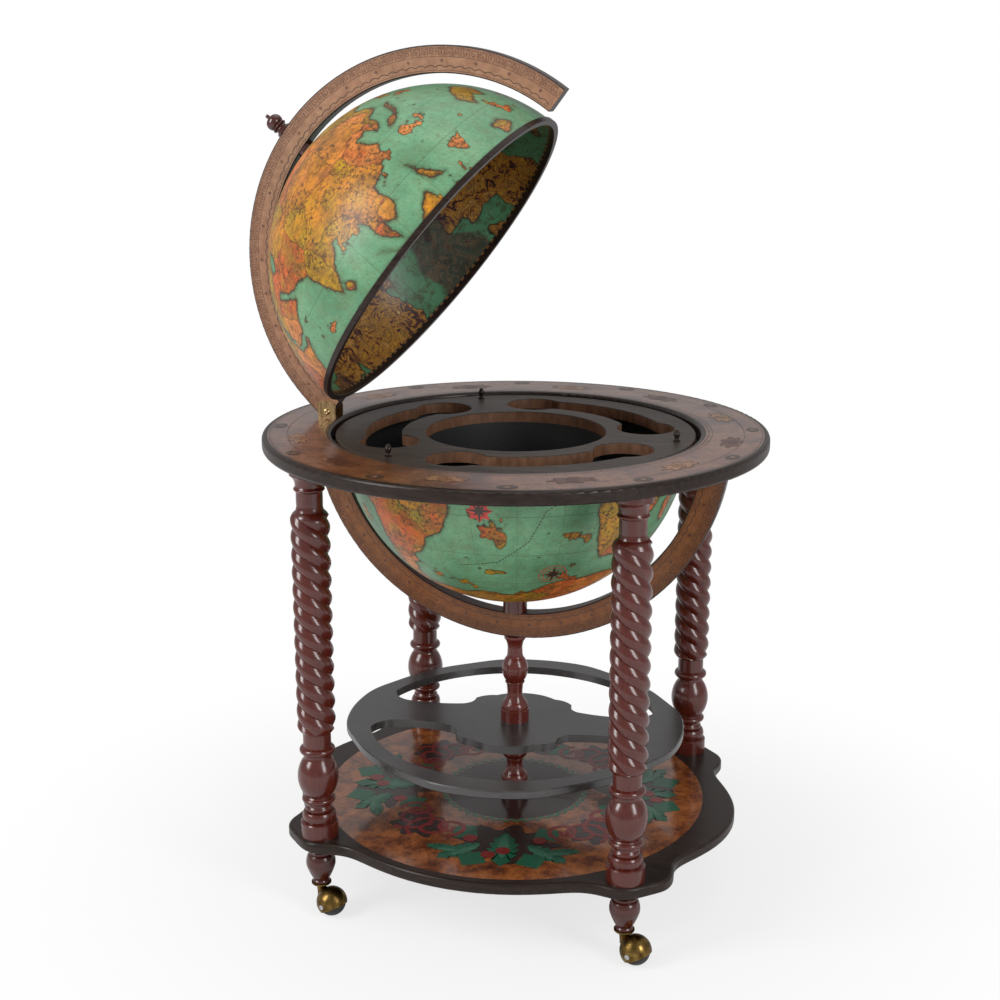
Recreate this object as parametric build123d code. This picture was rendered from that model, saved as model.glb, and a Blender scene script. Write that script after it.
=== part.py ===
from build123d import *
import os
from math import cos, pi, radians, sin, sqrt, tanh

os.makedirs("parts", exist_ok=True)

# Globe drinks bar on four barley-twist legs with ball casters. The floor is z = 0, the globe's
# axis is the Z axis, and the lid hinges on the -X side about an axis along Y. Sizes are in mm.

# ---------------------------------------------------------------- driving dimensions

# Heights, stacked from the floor up
CASTER_HEIGHT = 48.0      # floor to the underside of a foot
FOOT_HEIGHT = 59.0
BASE_THICK = 17.0
LEG_HEIGHT = 550.0        # base plate top to ring underside
RING_THICK = 20.0
SHELF_TOP_OVER_BASE = 116.0
SHELF_THICK = 12.0

# Half globes
GLOBE_R = 250.0
SHELL_WALL = 5.0
LID_GAP = 1.0             # closed lid's rim over the divider
LID_TRIM_HEIGHT = 8.0
LID_TRIM_OUTER_LIP = 2.5
LID_TRIM_INNER_LIP = 1.5
LID_TRIM_FLOOR = 2.0      # wood left under the shell's edge

# Meridian arcs, with their gaps to the globe
ARC_THICK = 25.0
ARC_DEPTH = 38.0
ARC_EDGE_R = 2.0
LOWER_ARC_GAP = 27.0
LID_ARC_GAP = 14.0
LID_ARC_END_GAP = 0.6     # closed arc's free end over the ring

# Stand, seen from above
RING_GAP = 16.5           # globe to the ring's inner edge
RING_WIDTH = 98.5
RING_EDGE_R = 5.0         # rounding of the ring's edge
RING_PRINT_MARGIN = 8.0   # wooden border left round the printed face
PRINT_THICK = 0.8
LEG_INSET = 44.0          # ring's outer edge to a leg's axis
LEG_AZIMUTH = 45.0        # first leg, then every quarter turn
PLINTH_R = 27.0
BASE_LOBE_SET = 19.0      # front and back lobes, inside the leg axis
BASE_SIDE_SWELL = 36.0    # how much further the side lobes reach
BASE_SIDE_POWER = 8       # how narrow the side lobes are
BASE_EAR_REACH = 48.0     # ears, past the lobes
BASE_EAR_TURN = 3.0       # ears' middles, turned from the legs towards the sides
BASE_EAR_HALF_DEG = 10.0  # half an ear's width, where it is half as far out
BASE_EAR_SHOULDER = 5     # how square an ear's shoulders are
BASE_RIM_POINTS = 96
BASE_EDGE_R = 4.0
BASE_PRINT_MARGIN = 6.0   # printed disc to the legs' plinths
SHELF_SET = 74.0          # shelf's rail inside the leg axis
SHELF_RAIL_WIDTH = 27.0
SHELF_MIDDLE_R = 105.0    # lobed middle plate
SHELF_EAR_STEP = 9.0
SHELF_BEND = 2.5          # sharpness of the S-bends
SHELF_RIM_POINTS = 40
SHELF_TURN = 5.5          # the scallops are turned a little about the globe axis

# Insert inside the lower half globe
BOWL_RIM_DEPTH = 12.0
BOWL_RIM_LAP = 8.5        # how far the rim reaches under the ring
BOWL_RIM_SCREW_LENGTH = 20.0
DIVIDER_THICK = 16.0
DIVIDER_GAP = 6.5         # divider to the ring's inner edge
WELL_R = 131.0
WELL_WALL = 3.0
POCKET_WEB = 18.0         # wood left between the well and a pocket
POCKET_RIM = 27.0         # wood left outside a pocket
POCKET_HALF_DEG = 38.0
POCKET_WAIST = 53.0       # width between a pocket's two ends
BOWL_FLOOR_DEPTH = 79.0   # divider underside to the floor panel
BOWL_FLOOR_THICK = 6.0
PEG_GAP = 3.0             # peg to the shut lid's shell
PEG_R = 5.0
PEG_HEIGHT = 17.0

# Legs
TWIST_R = 27.5
TWIST_STRANDS = 3
TWIST_GROOVE = 4.5
TWIST_RIDGE_PITCH = 25.6  # height from one ridge to the next
TWIST_START = 160.0       # height of the turned lower part
TWIST_END = 63.0          # height of the turned upper part
TWIST_RUNOUT = 12.0

# Spindles between base, shelf and lower arc
SPINDLE_PLINTH_R = 21.5
SPINDLE_PLINTH = 18.0
SPINDLE_CONE = 28.0       # height of the taper over the plinth
SPINDLE_NECK_R = 11.5
SPINDLE_COLLAR_R = 14.2
SPINDLE_COLLAR = 2.5
SPINDLE_BULB_R = 19.8
SPINDLE_CAP_R = 16.0
SPINDLE_CAP = 26.0        # height of the flare up to the top
SPINDLE_CAP_RIM = 6.0

# Hinge
HINGE_SET = 7.0           # pin outside the middle of the lid's arc
HINGE_OVER_RING = 8.0
OPEN_DEG = 53.0
ARC_HEEL = 5.0            # wood left below the pin on the arc's foot
BRACKET_SHEET = 2.0
BRACKET_LENGTH = 28.0
BRACKET_HEIGHT = 24.0     # above the ring
BRACKET_CORNER_R = 9.0
BRACKET_SIDE_GAP = 0.3
PIN_R = 2.5
PIN_HEAD_R = 5.0
PIN_HEAD_HEIGHT = 2.6

# Fixings
RUNNING = 0.05            # radial clearance of turning fits
FIXED = 0.1               # radial clearance of glued or bolted fits
ROD_R = 4.0
STUD_R = 4.0
STUD_REACH = 22.0
DOWEL_R = 5.0
DOWEL_REACH = 25.0
DOWEL_CAP = 6.0           # ring wood left over a dowel
NUT_R = 7.5
NUT_HEIGHT = 6.0
WASHER_R = 11.0
WASHER_THICK = 1.5
SCREW_R = 1.8
SCREW_HEAD_R = 3.6
FINIAL_BOLT_R = 3.0
SPACER_R = 18.0
POLE_SPACER_R = 14.0
FOOT_SPACER_R = 8.0
FOOT_SPACER_ELEVATION = 14.0

# Ball casters
BALL_R = 20.5
HOOD_GAP = 0.5
HOOD_WALL = 1.5
CASTER_TRAIL = 19.0
CASTER_AZIMUTH = -18.0    # way the wheels trail at rest
HOOD_TILT = 27.0
HOOD_CUT = 9.0
STEM_R = 4.0
STEM_LENGTH = 30.0
SLEEVE_WALL = 2.0
FLANGE_R = 14.5
FLANGE_THICK = 3.0
SWIVEL_GAP = 0.3
HORN_R = 7.0
AXLE_R = 2.5
AXLE_HEAD_R = 3.6
AXLE_HEAD_HEIGHT = 1.2
BALL_HALF_WIDTH = 16.0
HUB_R = 5.5
HUB_HALF_WIDTH = 19.4

# ---------------------------------------------------------------- sizes and levels that follow

SHELL_INNER_R = GLOBE_R - SHELL_WALL
RING_INNER_R = GLOBE_R + RING_GAP
RING_OUTER_R = RING_INNER_R + RING_WIDTH
LOWER_ARC_INNER_R = GLOBE_R + LOWER_ARC_GAP
LOWER_ARC_OUTER_R = LOWER_ARC_INNER_R + ARC_DEPTH
LID_ARC_INNER_R = GLOBE_R + LID_ARC_GAP
LID_ARC_OUTER_R = LID_ARC_INNER_R + ARC_DEPTH
LEG_CIRCLE_R = RING_OUTER_R - LEG_INSET
BASE_LOBE_R = LEG_CIRCLE_R - BASE_LOBE_SET
BASE_PRINT_R = LEG_CIRCLE_R - PLINTH_R - BASE_PRINT_MARGIN
SHELF_RAIL_OUTER_R = LEG_CIRCLE_R - SHELF_SET
SHELF_RAIL_INNER_R = SHELF_RAIL_OUTER_R - SHELF_RAIL_WIDTH
BOWL_RIM_OUTER_R = RING_INNER_R + BOWL_RIM_LAP
DIVIDER_R = RING_INNER_R - DIVIDER_GAP
POCKET_R = (DIVIDER_R - POCKET_RIM - WELL_R - POCKET_WEB) / 2
POCKET_CIRCLE_R = WELL_R + POCKET_WEB + POCKET_R
PEG_CIRCLE_R = SHELL_INNER_R - PEG_R - PEG_GAP
HINGE_X = -(LID_ARC_INNER_R + ARC_DEPTH / 2 + HINGE_SET)
FOOT_BOTTOM = CASTER_HEIGHT
BASE_BOTTOM = FOOT_BOTTOM + FOOT_HEIGHT
BASE_TOP = BASE_BOTTOM + BASE_THICK
SHELF_TOP = BASE_TOP + SHELF_TOP_OVER_BASE
SHELF_BOTTOM = SHELF_TOP - SHELF_THICK
RING_BOTTOM = BASE_TOP + LEG_HEIGHT
RING_TOP = RING_BOTTOM + RING_THICK
DIVIDER_TOP = RING_BOTTOM + DIVIDER_THICK
GLOBE_Z = DIVIDER_TOP + LID_GAP
BOWL_FLOOR_TOP = RING_BOTTOM - BOWL_FLOOR_DEPTH
BOWL_FLOOR_BOTTOM = BOWL_FLOOR_TOP - BOWL_FLOOR_THICK
ARC_BOTTOM = GLOBE_Z - LOWER_ARC_OUTER_R
HINGE_Z = RING_TOP + HINGE_OVER_RING
CENTRE = (0, 0, GLOBE_Z)
FAR = 4 * RING_OUTER_R
LEG_NAMES = ("back_right", "back_left", "front_left", "front_right")


# ---------------------------------------------------------------- helpers

def save(shape, name):
    export_step(shape, "parts/" + name + ".step")


def disc(r, bottom, top):
    """Round plate on the globe axis between two levels."""
    return Pos(0, 0, (bottom + top) / 2) * Cylinder(r, top - bottom)


def tube(r_out, r_in, bottom, top):
    return disc(r_out, bottom, top) - disc(r_in, bottom - 1, top + 1)


def about_y(r, width):
    """Cylinder about the Y line through the globe's centre."""
    return Pos(*CENTRE) * Rot(90, 0, 0) * Cylinder(r, width)


def globe(r):
    return Pos(*CENTRE) * Sphere(r)


def above(level):
    return Pos(0, 0, level + FAR / 2) * Box(FAR, FAR, FAR)


def below(level):
    return Pos(0, 0, level - FAR / 2) * Box(FAR, FAR, FAR)


def polar(r, az_deg):
    return (r * cos(radians(az_deg)), r * sin(radians(az_deg)))


def leg_places():
    """Name and axis of each leg."""
    for i, name in enumerate(LEG_NAMES):
        yield name, polar(LEG_CIRCLE_R, LEG_AZIMUTH + 90 * i)


def turned(stations):
    """Solid of revolution about Z. Each station is (height, radius, bulge), and the bulge is the
    rise of the arc that leads to it: 0 is straight, plus is round, minus is hollow."""
    z0, r0 = stations[0][:2]
    edges = [Line((0, 0, z0), (r0, 0, z0))]
    for z1, r1, bulge in stations[1:]:
        if bulge:
            length = sqrt((r1 - r0) ** 2 + (z1 - z0) ** 2)
            mid_r = (r0 + r1) / 2 + bulge * (z1 - z0) / length
            mid_z = (z0 + z1) / 2 - bulge * (r1 - r0) / length
            edges.append(ThreePointArc((r0, 0, z0), (mid_r, 0, mid_z), (r1, 0, z1)))
        else:
            edges.append(Line((r0, 0, z0), (r1, 0, z1)))
        z0, r0 = z1, r1
    edges.append(Line((r0, 0, z0), (0, 0, z0)))
    edges.append(Line((0, 0, z0), (0, 0, stations[0][0])))
    return revolve(make_face(edges), Axis.Z)


def sector(r_in, r_out, half_deg):
    """Piece of a flat ring, centred on +X."""
    corners = [polar(r, side * half_deg) for r in (r_in, r_out) for side in (-1, 1)]
    return make_face([
        CenterArc((0, 0), r_out, -half_deg, 2 * half_deg),
        CenterArc((0, 0), r_in, -half_deg, 2 * half_deg),
        Line(corners[0], corners[2]),
        Line(corners[1], corners[3]),
    ])


def countersunk(length, head_r=SCREW_HEAD_R, shank_r=SCREW_R):
    """Wood screw with its head flush at z = 0, pointing down."""
    head = head_r - shank_r
    return turned([(-length, 0.4, 0), (-length + 3, shank_r, 0), (-head, shank_r, 0), (0, head_r, 0)])


# ---------------------------------------------------------------- stand

def base_outline():
    """Scalloped plan, as the radius at each azimuth: broad lobes that reach further out at the
    sides, and a round-shouldered ear at each leg."""
    rim = []
    for i in range(BASE_RIM_POINTS):
        az = 360 * i / BASE_RIM_POINTS
        r = BASE_LOBE_R + BASE_SIDE_SWELL * cos(radians(az)) ** BASE_SIDE_POWER
        from_side = abs((az + 90) % 180 - 90)
        off = (from_side - LEG_AZIMUTH + BASE_EAR_TURN) / BASE_EAR_HALF_DEG
        r += BASE_EAR_REACH / (1 + abs(off) ** BASE_EAR_SHOULDER)
        rim.append(polar(r, az))
    return make_face(Spline(rim, periodic=True))


def make_base():
    plate = extrude(Pos(0, 0, BASE_BOTTOM) * base_outline(), BASE_THICK)
    top_edges = plate.faces().sort_by(Axis.Z)[-1].edges()
    low_edges = plate.faces().sort_by(Axis.Z)[0].edges()
    plate = fillet(top_edges + low_edges, BASE_EDGE_R)
    plate -= disc(BASE_PRINT_R, BASE_TOP - PRINT_THICK, BASE_TOP + 1)
    plate -= disc(ROD_R + FIXED, BASE_BOTTOM - 1, BASE_TOP + 1)
    plate -= disc(WASHER_R + 2, BASE_BOTTOM - 1, BASE_BOTTOM + NUT_HEIGHT + WASHER_THICK)
    for _, (x, y) in leg_places():
        plate -= Pos(x, y) * disc(STUD_R + FIXED, BASE_BOTTOM - 1, BASE_TOP + 1)
    save(plate, "base_plate")
    # The spindle stands on the board, through a hole in the print.
    save(tube(BASE_PRINT_R, SPINDLE_PLINTH_R + FIXED, BASE_TOP - PRINT_THICK, BASE_TOP), "base_print")


def twist(length):
    """Barley twist: a section of overlapping rounds, turned as it rises (left-handed)."""
    # Neighbouring rounds of radius s, set d off the axis, cross at the depth of the groove.
    root = TWIST_R - TWIST_GROOVE
    turn = pi / TWIST_STRANDS
    offset = (TWIST_R ** 2 - root ** 2) / (2 * (TWIST_R - root * cos(turn)))
    section = Sketch()
    for k in range(TWIST_STRANDS):
        section += Pos(*polar(offset, 360 * k / TWIST_STRANDS)) * Circle(TWIST_R - offset)
    turns = length / (TWIST_RIDGE_PITCH * TWIST_STRANDS)
    rope = Solid.extrude_linear_with_rotation(section.face(), (0, 0, 0), (0, 0, length), -360 * turns)
    ends = turned([
        (0, root - 2, 0),
        (TWIST_RUNOUT, TWIST_R + 0.1, 1.5),
        (length - TWIST_RUNOUT, TWIST_R + 0.1, 0),
        (length, root - 3, 1.5),
    ])
    return Part() + rope & ends


def make_leg():
    """Turned plinth, beads and bulb, then the twist, then the neck under the ring."""
    low = turned([
        (0, PLINTH_R, 0), (21, PLINTH_R, 0), (22.5, PLINTH_R - 1.5, 0), (23.5, 22.3, 0),
        (38, 22.3, 2.2), (39, 18.3, 0), (46, 18.3, 1.5), (47.5, 17.5, 0), (51, 18, 0),
        (53, 21.2, 0), (61, 21.2, 3.0), (63, 19.5, 0), (120, 20.5, 9.3), (127, 19.5, -0.5),
        (128.5, 23, 0), (137.5, 23, 2.5), (139, 20, 0), (TWIST_START, 20, 0),
    ])
    high = turned([
        (0, 20, 0), (11, 18.5, -0.8), (27, 18.5, 0), (29, 20.5, 0), (33, 20.5, 1.2),
        (35, 19.5, 0), (51, PLINTH_R, -2.5), (TWIST_END, PLINTH_R, 0),
    ])
    length = LEG_HEIGHT - TWIST_START - TWIST_END
    leg = low + Pos(0, 0, TWIST_START) * twist(length) + Pos(0, 0, TWIST_START + length) * high
    leg -= disc(STUD_R + FIXED, -1, STUD_REACH + 1)
    leg -= disc(DOWEL_R + FIXED, LEG_HEIGHT - DOWEL_REACH - 1, LEG_HEIGHT + 1)
    return leg


def make_foot():
    foot = turned([
        (0, 12, 0), (3, 12, 0.5), (4.5, 11, 0), (27, 21, 0.8), (44, 18.5, 1.5),
        (46, 16.5, 0), (50, 17.5, 0.4), (52, 16, 0), (FOOT_HEIGHT, 16, 0),
    ])
    foot -= disc(STEM_R + SLEEVE_WALL + FIXED, -1, STEM_LENGTH + 2)
    foot -= disc(STUD_R + FIXED, FOOT_HEIGHT - STUD_REACH - 1, FOOT_HEIGHT + 1)
    return foot


def make_legs_and_feet():
    leg = make_leg()
    foot = make_foot()
    studs = []
    dowels = []
    for name, (x, y) in leg_places():
        save(Pos(x, y, BASE_TOP) * leg, "leg_" + name)
        save(Pos(x, y, FOOT_BOTTOM) * foot, "foot_" + name)
        studs.append(Pos(x, y) * disc(STUD_R, BASE_BOTTOM - STUD_REACH, BASE_TOP + STUD_REACH))
        dowels.append(Pos(x, y) * disc(DOWEL_R, RING_BOTTOM - DOWEL_REACH, RING_TOP - DOWEL_CAP))
    save(Compound(children=studs), "leg_studs")
    save(Compound(children=dowels), "leg_dowels")


def shelf_opening():
    """One crescent opening of the shelf, on the +Y side: the rail's inner circle outside, and
    inside it the lobed middle plate and the two bridges that carry the rail."""
    tip_deg = 20
    edges = [CenterArc((0, 0), SHELF_RAIL_INNER_R, tip_deg, 180 - 2 * tip_deg)]
    for side in (-1, 1):
        def plate(x, y):
            return (side * x * SHELF_MIDDLE_R, y * SHELF_MIDDLE_R)

        def rail(x, y):
            return (side * x * SHELF_RAIL_INNER_R, y * SHELF_RAIL_INNER_R)
        tip = rail(cos(radians(tip_deg)), sin(radians(tip_deg)))
        edges.append(ThreePointArc(plate(0, 1.0), plate(0.228, 0.963), plate(0.439, 0.838)))
        edges.append(ThreePointArc(plate(0.439, 0.838), plate(0.601, 0.790), plate(0.724, 0.667)))
        edges.append(ThreePointArc(plate(0.724, 0.667), plate(0.763, 0.496), plate(0.858, 0.419)))
        edges.append(ThreePointArc(plate(0.858, 0.419), plate(1.140, 0.365), rail(0.82, 0.184)))
        edges.append(ThreePointArc(rail(0.82, 0.184), rail(0.895, 0.234), tip))
    return make_face(edges)


def make_shelf():
    # The rim swells a little over each bridge and halfway between, with an S-bend at each change.
    rim = []
    for i in range(SHELF_RIM_POINTS):
        az = 360 * i / SHELF_RIM_POINTS
        swell = tanh(SHELF_BEND * cos(radians(4 * az))) / tanh(SHELF_BEND)
        rim.append(polar(SHELF_RAIL_OUTER_R + SHELF_EAR_STEP * (1 + swell) / 2, az))
    plan = make_face(Spline(rim, periodic=True))
    plan -= shelf_opening()
    plan -= Rot(0, 0, 180) * shelf_opening()
    shelf = extrude(Pos(0, 0, SHELF_BOTTOM) * Rot(0, 0, SHELF_TURN) * plan, SHELF_THICK)
    faces = shelf.faces().sort_by(Axis.Z)
    shelf = chamfer(faces[0].outer_wire().edges() + faces[-1].outer_wire().edges(), 1.5)
    shelf -= disc(ROD_R + FIXED, SHELF_BOTTOM - 1, SHELF_TOP + 1)
    save(shelf, "mid_shelf")


def spindle(height):
    """Turned post: plinth, ogee taper, neck with a collar, bulb, and a flare at the top."""
    taper_top = SPINDLE_PLINTH + SPINDLE_CONE
    cap_foot = height - SPINDLE_CAP
    middle = cap_foot - taper_top
    collar = taper_top + 0.22 * middle
    bulb_foot = collar + SPINDLE_COLLAR
    bulb_top = cap_foot - 0.15 * middle
    step = SPINDLE_PLINTH_R / 20
    bulb_end_r = (SPINDLE_NECK_R + SPINDLE_COLLAR_R) / 2
    ogee_r = SPINDLE_NECK_R + 0.63 * (SPINDLE_PLINTH_R - SPINDLE_NECK_R)
    return turned([
        (0, SPINDLE_PLINTH_R, 0), (SPINDLE_PLINTH, SPINDLE_PLINTH_R, 0),
        (SPINDLE_PLINTH + step, SPINDLE_PLINTH_R - step, 0),
        (SPINDLE_PLINTH + 0.4 * SPINDLE_CONE, ogee_r, step),
        (taper_top, SPINDLE_NECK_R, -1.5 * step),
        (collar, bulb_end_r, 0), (collar, SPINDLE_COLLAR_R, 0),
        (bulb_foot, SPINDLE_COLLAR_R, SPINDLE_COLLAR / 4), (bulb_foot, bulb_end_r, 0),
        (bulb_top, bulb_end_r, SPINDLE_BULB_R - bulb_end_r),
        (cap_foot, SPINDLE_NECK_R, -step / 2),
        (height - SPINDLE_CAP_RIM - step, SPINDLE_CAP_R - step, -1.5 * step),
        (height - SPINDLE_CAP_RIM, SPINDLE_CAP_R, 0), (height, SPINDLE_CAP_R, step / 2),
    ]) - disc(ROD_R + FIXED, -1, height + 1)


def make_spindles():
    foot = BASE_TOP - PRINT_THICK
    save(Pos(0, 0, foot) * spindle(SHELF_BOTTOM - foot), "lower_spindle")
    upper = Pos(0, 0, SHELF_TOP) * spindle(ARC_BOTTOM - SHELF_TOP + 1)
    save(upper - about_y(LOWER_ARC_OUTER_R, 4 * ARC_THICK), "upper_spindle")


def make_centre_rod():
    """Steel rod that clamps the base, spindles, shelf, lower arc and bowl together."""
    shell_inside = GLOBE_Z - SHELL_INNER_R
    rod_top = shell_inside + WASHER_THICK + NUT_HEIGHT + 4
    nut_bottom = BASE_BOTTOM
    save(disc(ROD_R, nut_bottom, rod_top), "centre_rod")
    hexagon = RegularPolygon(NUT_R, 6) - Circle(ROD_R + FIXED)
    nut = extrude(hexagon, NUT_HEIGHT)
    washer = tube(WASHER_R, ROD_R + FIXED, 0, WASHER_THICK)
    seat = shell_inside + SHELL_INNER_R - sqrt(SHELL_INNER_R ** 2 - WASHER_R ** 2)
    pieces = [
        Pos(0, 0, nut_bottom) * nut,
        Pos(0, 0, nut_bottom + NUT_HEIGHT) * washer,
        Pos(0, 0, seat) * washer,
        Pos(0, 0, seat + WASHER_THICK) * nut,
    ]
    save(Compound(children=pieces), "rod_nuts")


def bracket_recess(top):
    """Space that the hinge bracket's foot is let into."""
    width = ARC_THICK + 2 * (BRACKET_SIDE_GAP + BRACKET_SHEET)
    depth = top - (RING_TOP - BRACKET_SHEET)
    return Pos(HINGE_X, 0, top - depth / 2) * Box(BRACKET_LENGTH, width, depth)


def make_ring():
    ring = tube(RING_OUTER_R, RING_INNER_R, RING_BOTTOM, RING_TOP)
    ring = fillet(ring.edges().filter_by(GeomType.CIRCLE), RING_EDGE_R)
    print_out = RING_OUTER_R - RING_PRINT_MARGIN
    print_in = RING_INNER_R + RING_PRINT_MARGIN
    inlay = tube(print_out, print_in, RING_TOP - PRINT_THICK, RING_TOP)
    ring -= inlay
    ring -= bracket_recess(RING_TOP + 1)
    for _, (x, y) in leg_places():
        ring -= Pos(x, y) * disc(DOWEL_R + FIXED, RING_BOTTOM - 1, RING_TOP - DOWEL_CAP)
    for place in arc_dowel_places():
        ring -= place * disc(DOWEL_R + FIXED, RING_BOTTOM - 1, RING_TOP - DOWEL_CAP)
    for place in hinge_screw_places():
        ring -= place * countersunk(13, SCREW_HEAD_R + FIXED, SCREW_R + FIXED)
    for place in rim_screw_places():
        ring -= place * disc(SCREW_R + FIXED, RING_BOTTOM - 1, RING_BOTTOM + 10)
    save(ring, "horizon_ring")
    save(inlay - bracket_recess(RING_TOP + 1), "horizon_print")


# ---------------------------------------------------------------- lower half globe

def arc_dowel_places():
    middle = (LOWER_ARC_INNER_R + LOWER_ARC_OUTER_R) / 2
    return [Pos(side * middle, 0) for side in (-1, 1)]


def rim_screw_places():
    """Six screws up through the bowl's rim into the ring's inner edge."""
    r = (RING_INNER_R + BOWL_RIM_OUTER_R) / 2
    return [Pos(*polar(r, 30 + 60 * i)) for i in range(6)]


def make_lower_arc():
    arc = about_y(LOWER_ARC_OUTER_R, ARC_THICK) - about_y(LOWER_ARC_INNER_R, 2 * ARC_THICK)
    arc = fillet(arc.edges().filter_by(GeomType.CIRCLE), ARC_EDGE_R)
    arc &= below(RING_BOTTOM)
    arc -= disc(ROD_R + FIXED, ARC_BOTTOM - 1, GLOBE_Z - GLOBE_R)
    dowels = []
    for place in arc_dowel_places():
        arc -= place * disc(DOWEL_R + FIXED, RING_BOTTOM - DOWEL_REACH, RING_BOTTOM + 1)
        dowels.append(place * disc(DOWEL_R, RING_BOTTOM - DOWEL_REACH + 1, RING_TOP - DOWEL_CAP - 1))
    save(arc, "lower_meridian")
    save(Compound(children=dowels), "arc_dowels")
    spacer = disc(SPACER_R, ARC_BOTTOM + 1, GLOBE_Z - GLOBE_R + 3)
    spacer = (spacer & about_y(LOWER_ARC_INNER_R, 4 * SPACER_R)) - globe(GLOBE_R)
    spacer -= disc(ROD_R + FIXED, ARC_BOTTOM, GLOBE_Z)
    save(spacer, "south_spacer")


def make_bowl():
    shell = (globe(GLOBE_R) - globe(SHELL_INNER_R)) & below(RING_BOTTOM)
    shell -= disc(ROD_R + FIXED, GLOBE_Z - GLOBE_R - 1, GLOBE_Z - SHELL_INNER_R + 1)
    save(shell, "bowl_shell")
    rim = disc(BOWL_RIM_OUTER_R, RING_BOTTOM - BOWL_RIM_DEPTH, RING_BOTTOM) - globe(GLOBE_R)
    screws = []
    for place in rim_screw_places():
        screw = Pos(0, 0, RING_BOTTOM - BOWL_RIM_DEPTH) * Rot(180, 0, 0) * countersunk(BOWL_RIM_SCREW_LENGTH)
        hole = countersunk(BOWL_RIM_SCREW_LENGTH, SCREW_HEAD_R + FIXED, SCREW_R + FIXED)
        rim -= place * Pos(0, 0, RING_BOTTOM - BOWL_RIM_DEPTH) * Rot(180, 0, 0) * hole
        screws.append(place * screw)
    save(rim, "bowl_rim")
    save(Compound(children=screws), "bowl_rim_screws")
    floor = disc(GLOBE_R, BOWL_FLOOR_BOTTOM, BOWL_FLOOR_TOP) & globe(SHELL_INNER_R)
    save(floor, "bowl_floor")
    save(tube(WELL_R + WELL_WALL, WELL_R, BOWL_FLOOR_TOP, RING_BOTTOM), "well_liner")


def pocket():
    """Peanut-shaped pocket, centred on +X."""
    half = POCKET_WAIST / 2
    plan = sector(POCKET_CIRCLE_R - half, POCKET_CIRCLE_R + half, POCKET_HALF_DEG)
    for side in (-1, 1):
        plan += Pos(*polar(POCKET_CIRCLE_R, side * POCKET_HALF_DEG)) * Circle(POCKET_R)
    return fillet(plan.vertices(), 12.0)


def make_divider():
    plan = Circle(DIVIDER_R) - Circle(WELL_R)
    for i in range(3):
        plan -= Rot(0, 0, 60 + 120 * i) * pocket()
    plate = extrude(Pos(0, 0, RING_BOTTOM) * plan, DIVIDER_THICK)
    plate = chamfer(plate.faces().sort_by(Axis.Z)[-1].edges(), 1.2)
    peg = turned([
        (-6, PEG_R - 2, 0), (0, PEG_R - 2, 0), (0, PEG_R, 0), (2, PEG_R, 0), (4, PEG_R - 2, -0.4),
        (6, PEG_R - 1.8, 0), (PEG_HEIGHT - 3, PEG_R - 1.8, 1.6), (PEG_HEIGHT, 0.8, 0.9),
    ])
    pegs = []
    for i in range(3):
        place = Pos(*polar(PEG_CIRCLE_R, 120 * i), DIVIDER_TOP)
        plate -= place * disc(PEG_R - 2 + FIXED, -7, 1)
        pegs.append(place * peg)
    save(plate, "divider_plate")
    save(Compound(children=pegs), "divider_pegs")


# ---------------------------------------------------------------- hinge and lid

def hinge_screw_places():
    return [Pos(HINGE_X, side * 8, RING_TOP) for side in (-1, 1)]


def opened(shape):
    """Turn a piece drawn with the lid shut to where it stands with the lid open."""
    return Pos(HINGE_X, 0, HINGE_Z) * Rot(0, -OPEN_DEG, 0) * Pos(-HINGE_X, 0, -HINGE_Z) * shape


def hinge_bore(r, width):
    return Pos(HINGE_X, 0, HINGE_Z) * Rot(90, 0, 0) * Cylinder(r, width)


def make_hinge():
    """Sheet clevis let into the ring, with a round-headed pin."""
    inner = ARC_THICK / 2 + BRACKET_SIDE_GAP
    outer = inner + BRACKET_SHEET
    foot = Pos(HINGE_X, 0, RING_TOP - BRACKET_SHEET / 2) * Box(BRACKET_LENGTH, 2 * outer, BRACKET_SHEET)
    cheek = Rectangle(BRACKET_LENGTH, BRACKET_HEIGHT + BRACKET_SHEET)
    cheek = fillet(cheek.vertices().group_by(Axis.Y)[-1], BRACKET_CORNER_R)
    middle_z = RING_TOP + (BRACKET_HEIGHT - BRACKET_SHEET) / 2
    bracket = foot
    for y in (-inner, outer):
        bracket += Pos(HINGE_X, y, middle_z) * Rot(90, 0, 0) * extrude(cheek, BRACKET_SHEET)
    bracket -= hinge_bore(PIN_R + FIXED / 2, 4 * outer)
    for place in hinge_screw_places():
        bracket -= place * countersunk(13, SCREW_HEAD_R + FIXED, SCREW_R + FIXED)
    save(bracket, "hinge_bracket")
    pin = hinge_bore(PIN_R, 2 * outer)
    head = turned([(0, PIN_HEAD_R, 0), (0.8, PIN_HEAD_R, 0), (PIN_HEAD_HEIGHT, 1.5, 1.0)])
    for side in (-1, 1):
        pin += Pos(HINGE_X, side * outer, HINGE_Z) * Rot(-90 * side, 0, 0) * head
    save(pin, "hinge_pin")
    screws = [place * countersunk(13) for place in hinge_screw_places()]
    save(Compound(children=screws), "hinge_screws")


def radial_spacer(r):
    """Round block that fills the gap between the lid's shell and its arc, at the pole."""
    block = disc(r, GLOBE_Z + SHELL_INNER_R, GLOBE_Z + LID_ARC_OUTER_R)
    return (block & about_y(LID_ARC_INNER_R, 4 * r)) - globe(GLOBE_R)


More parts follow.
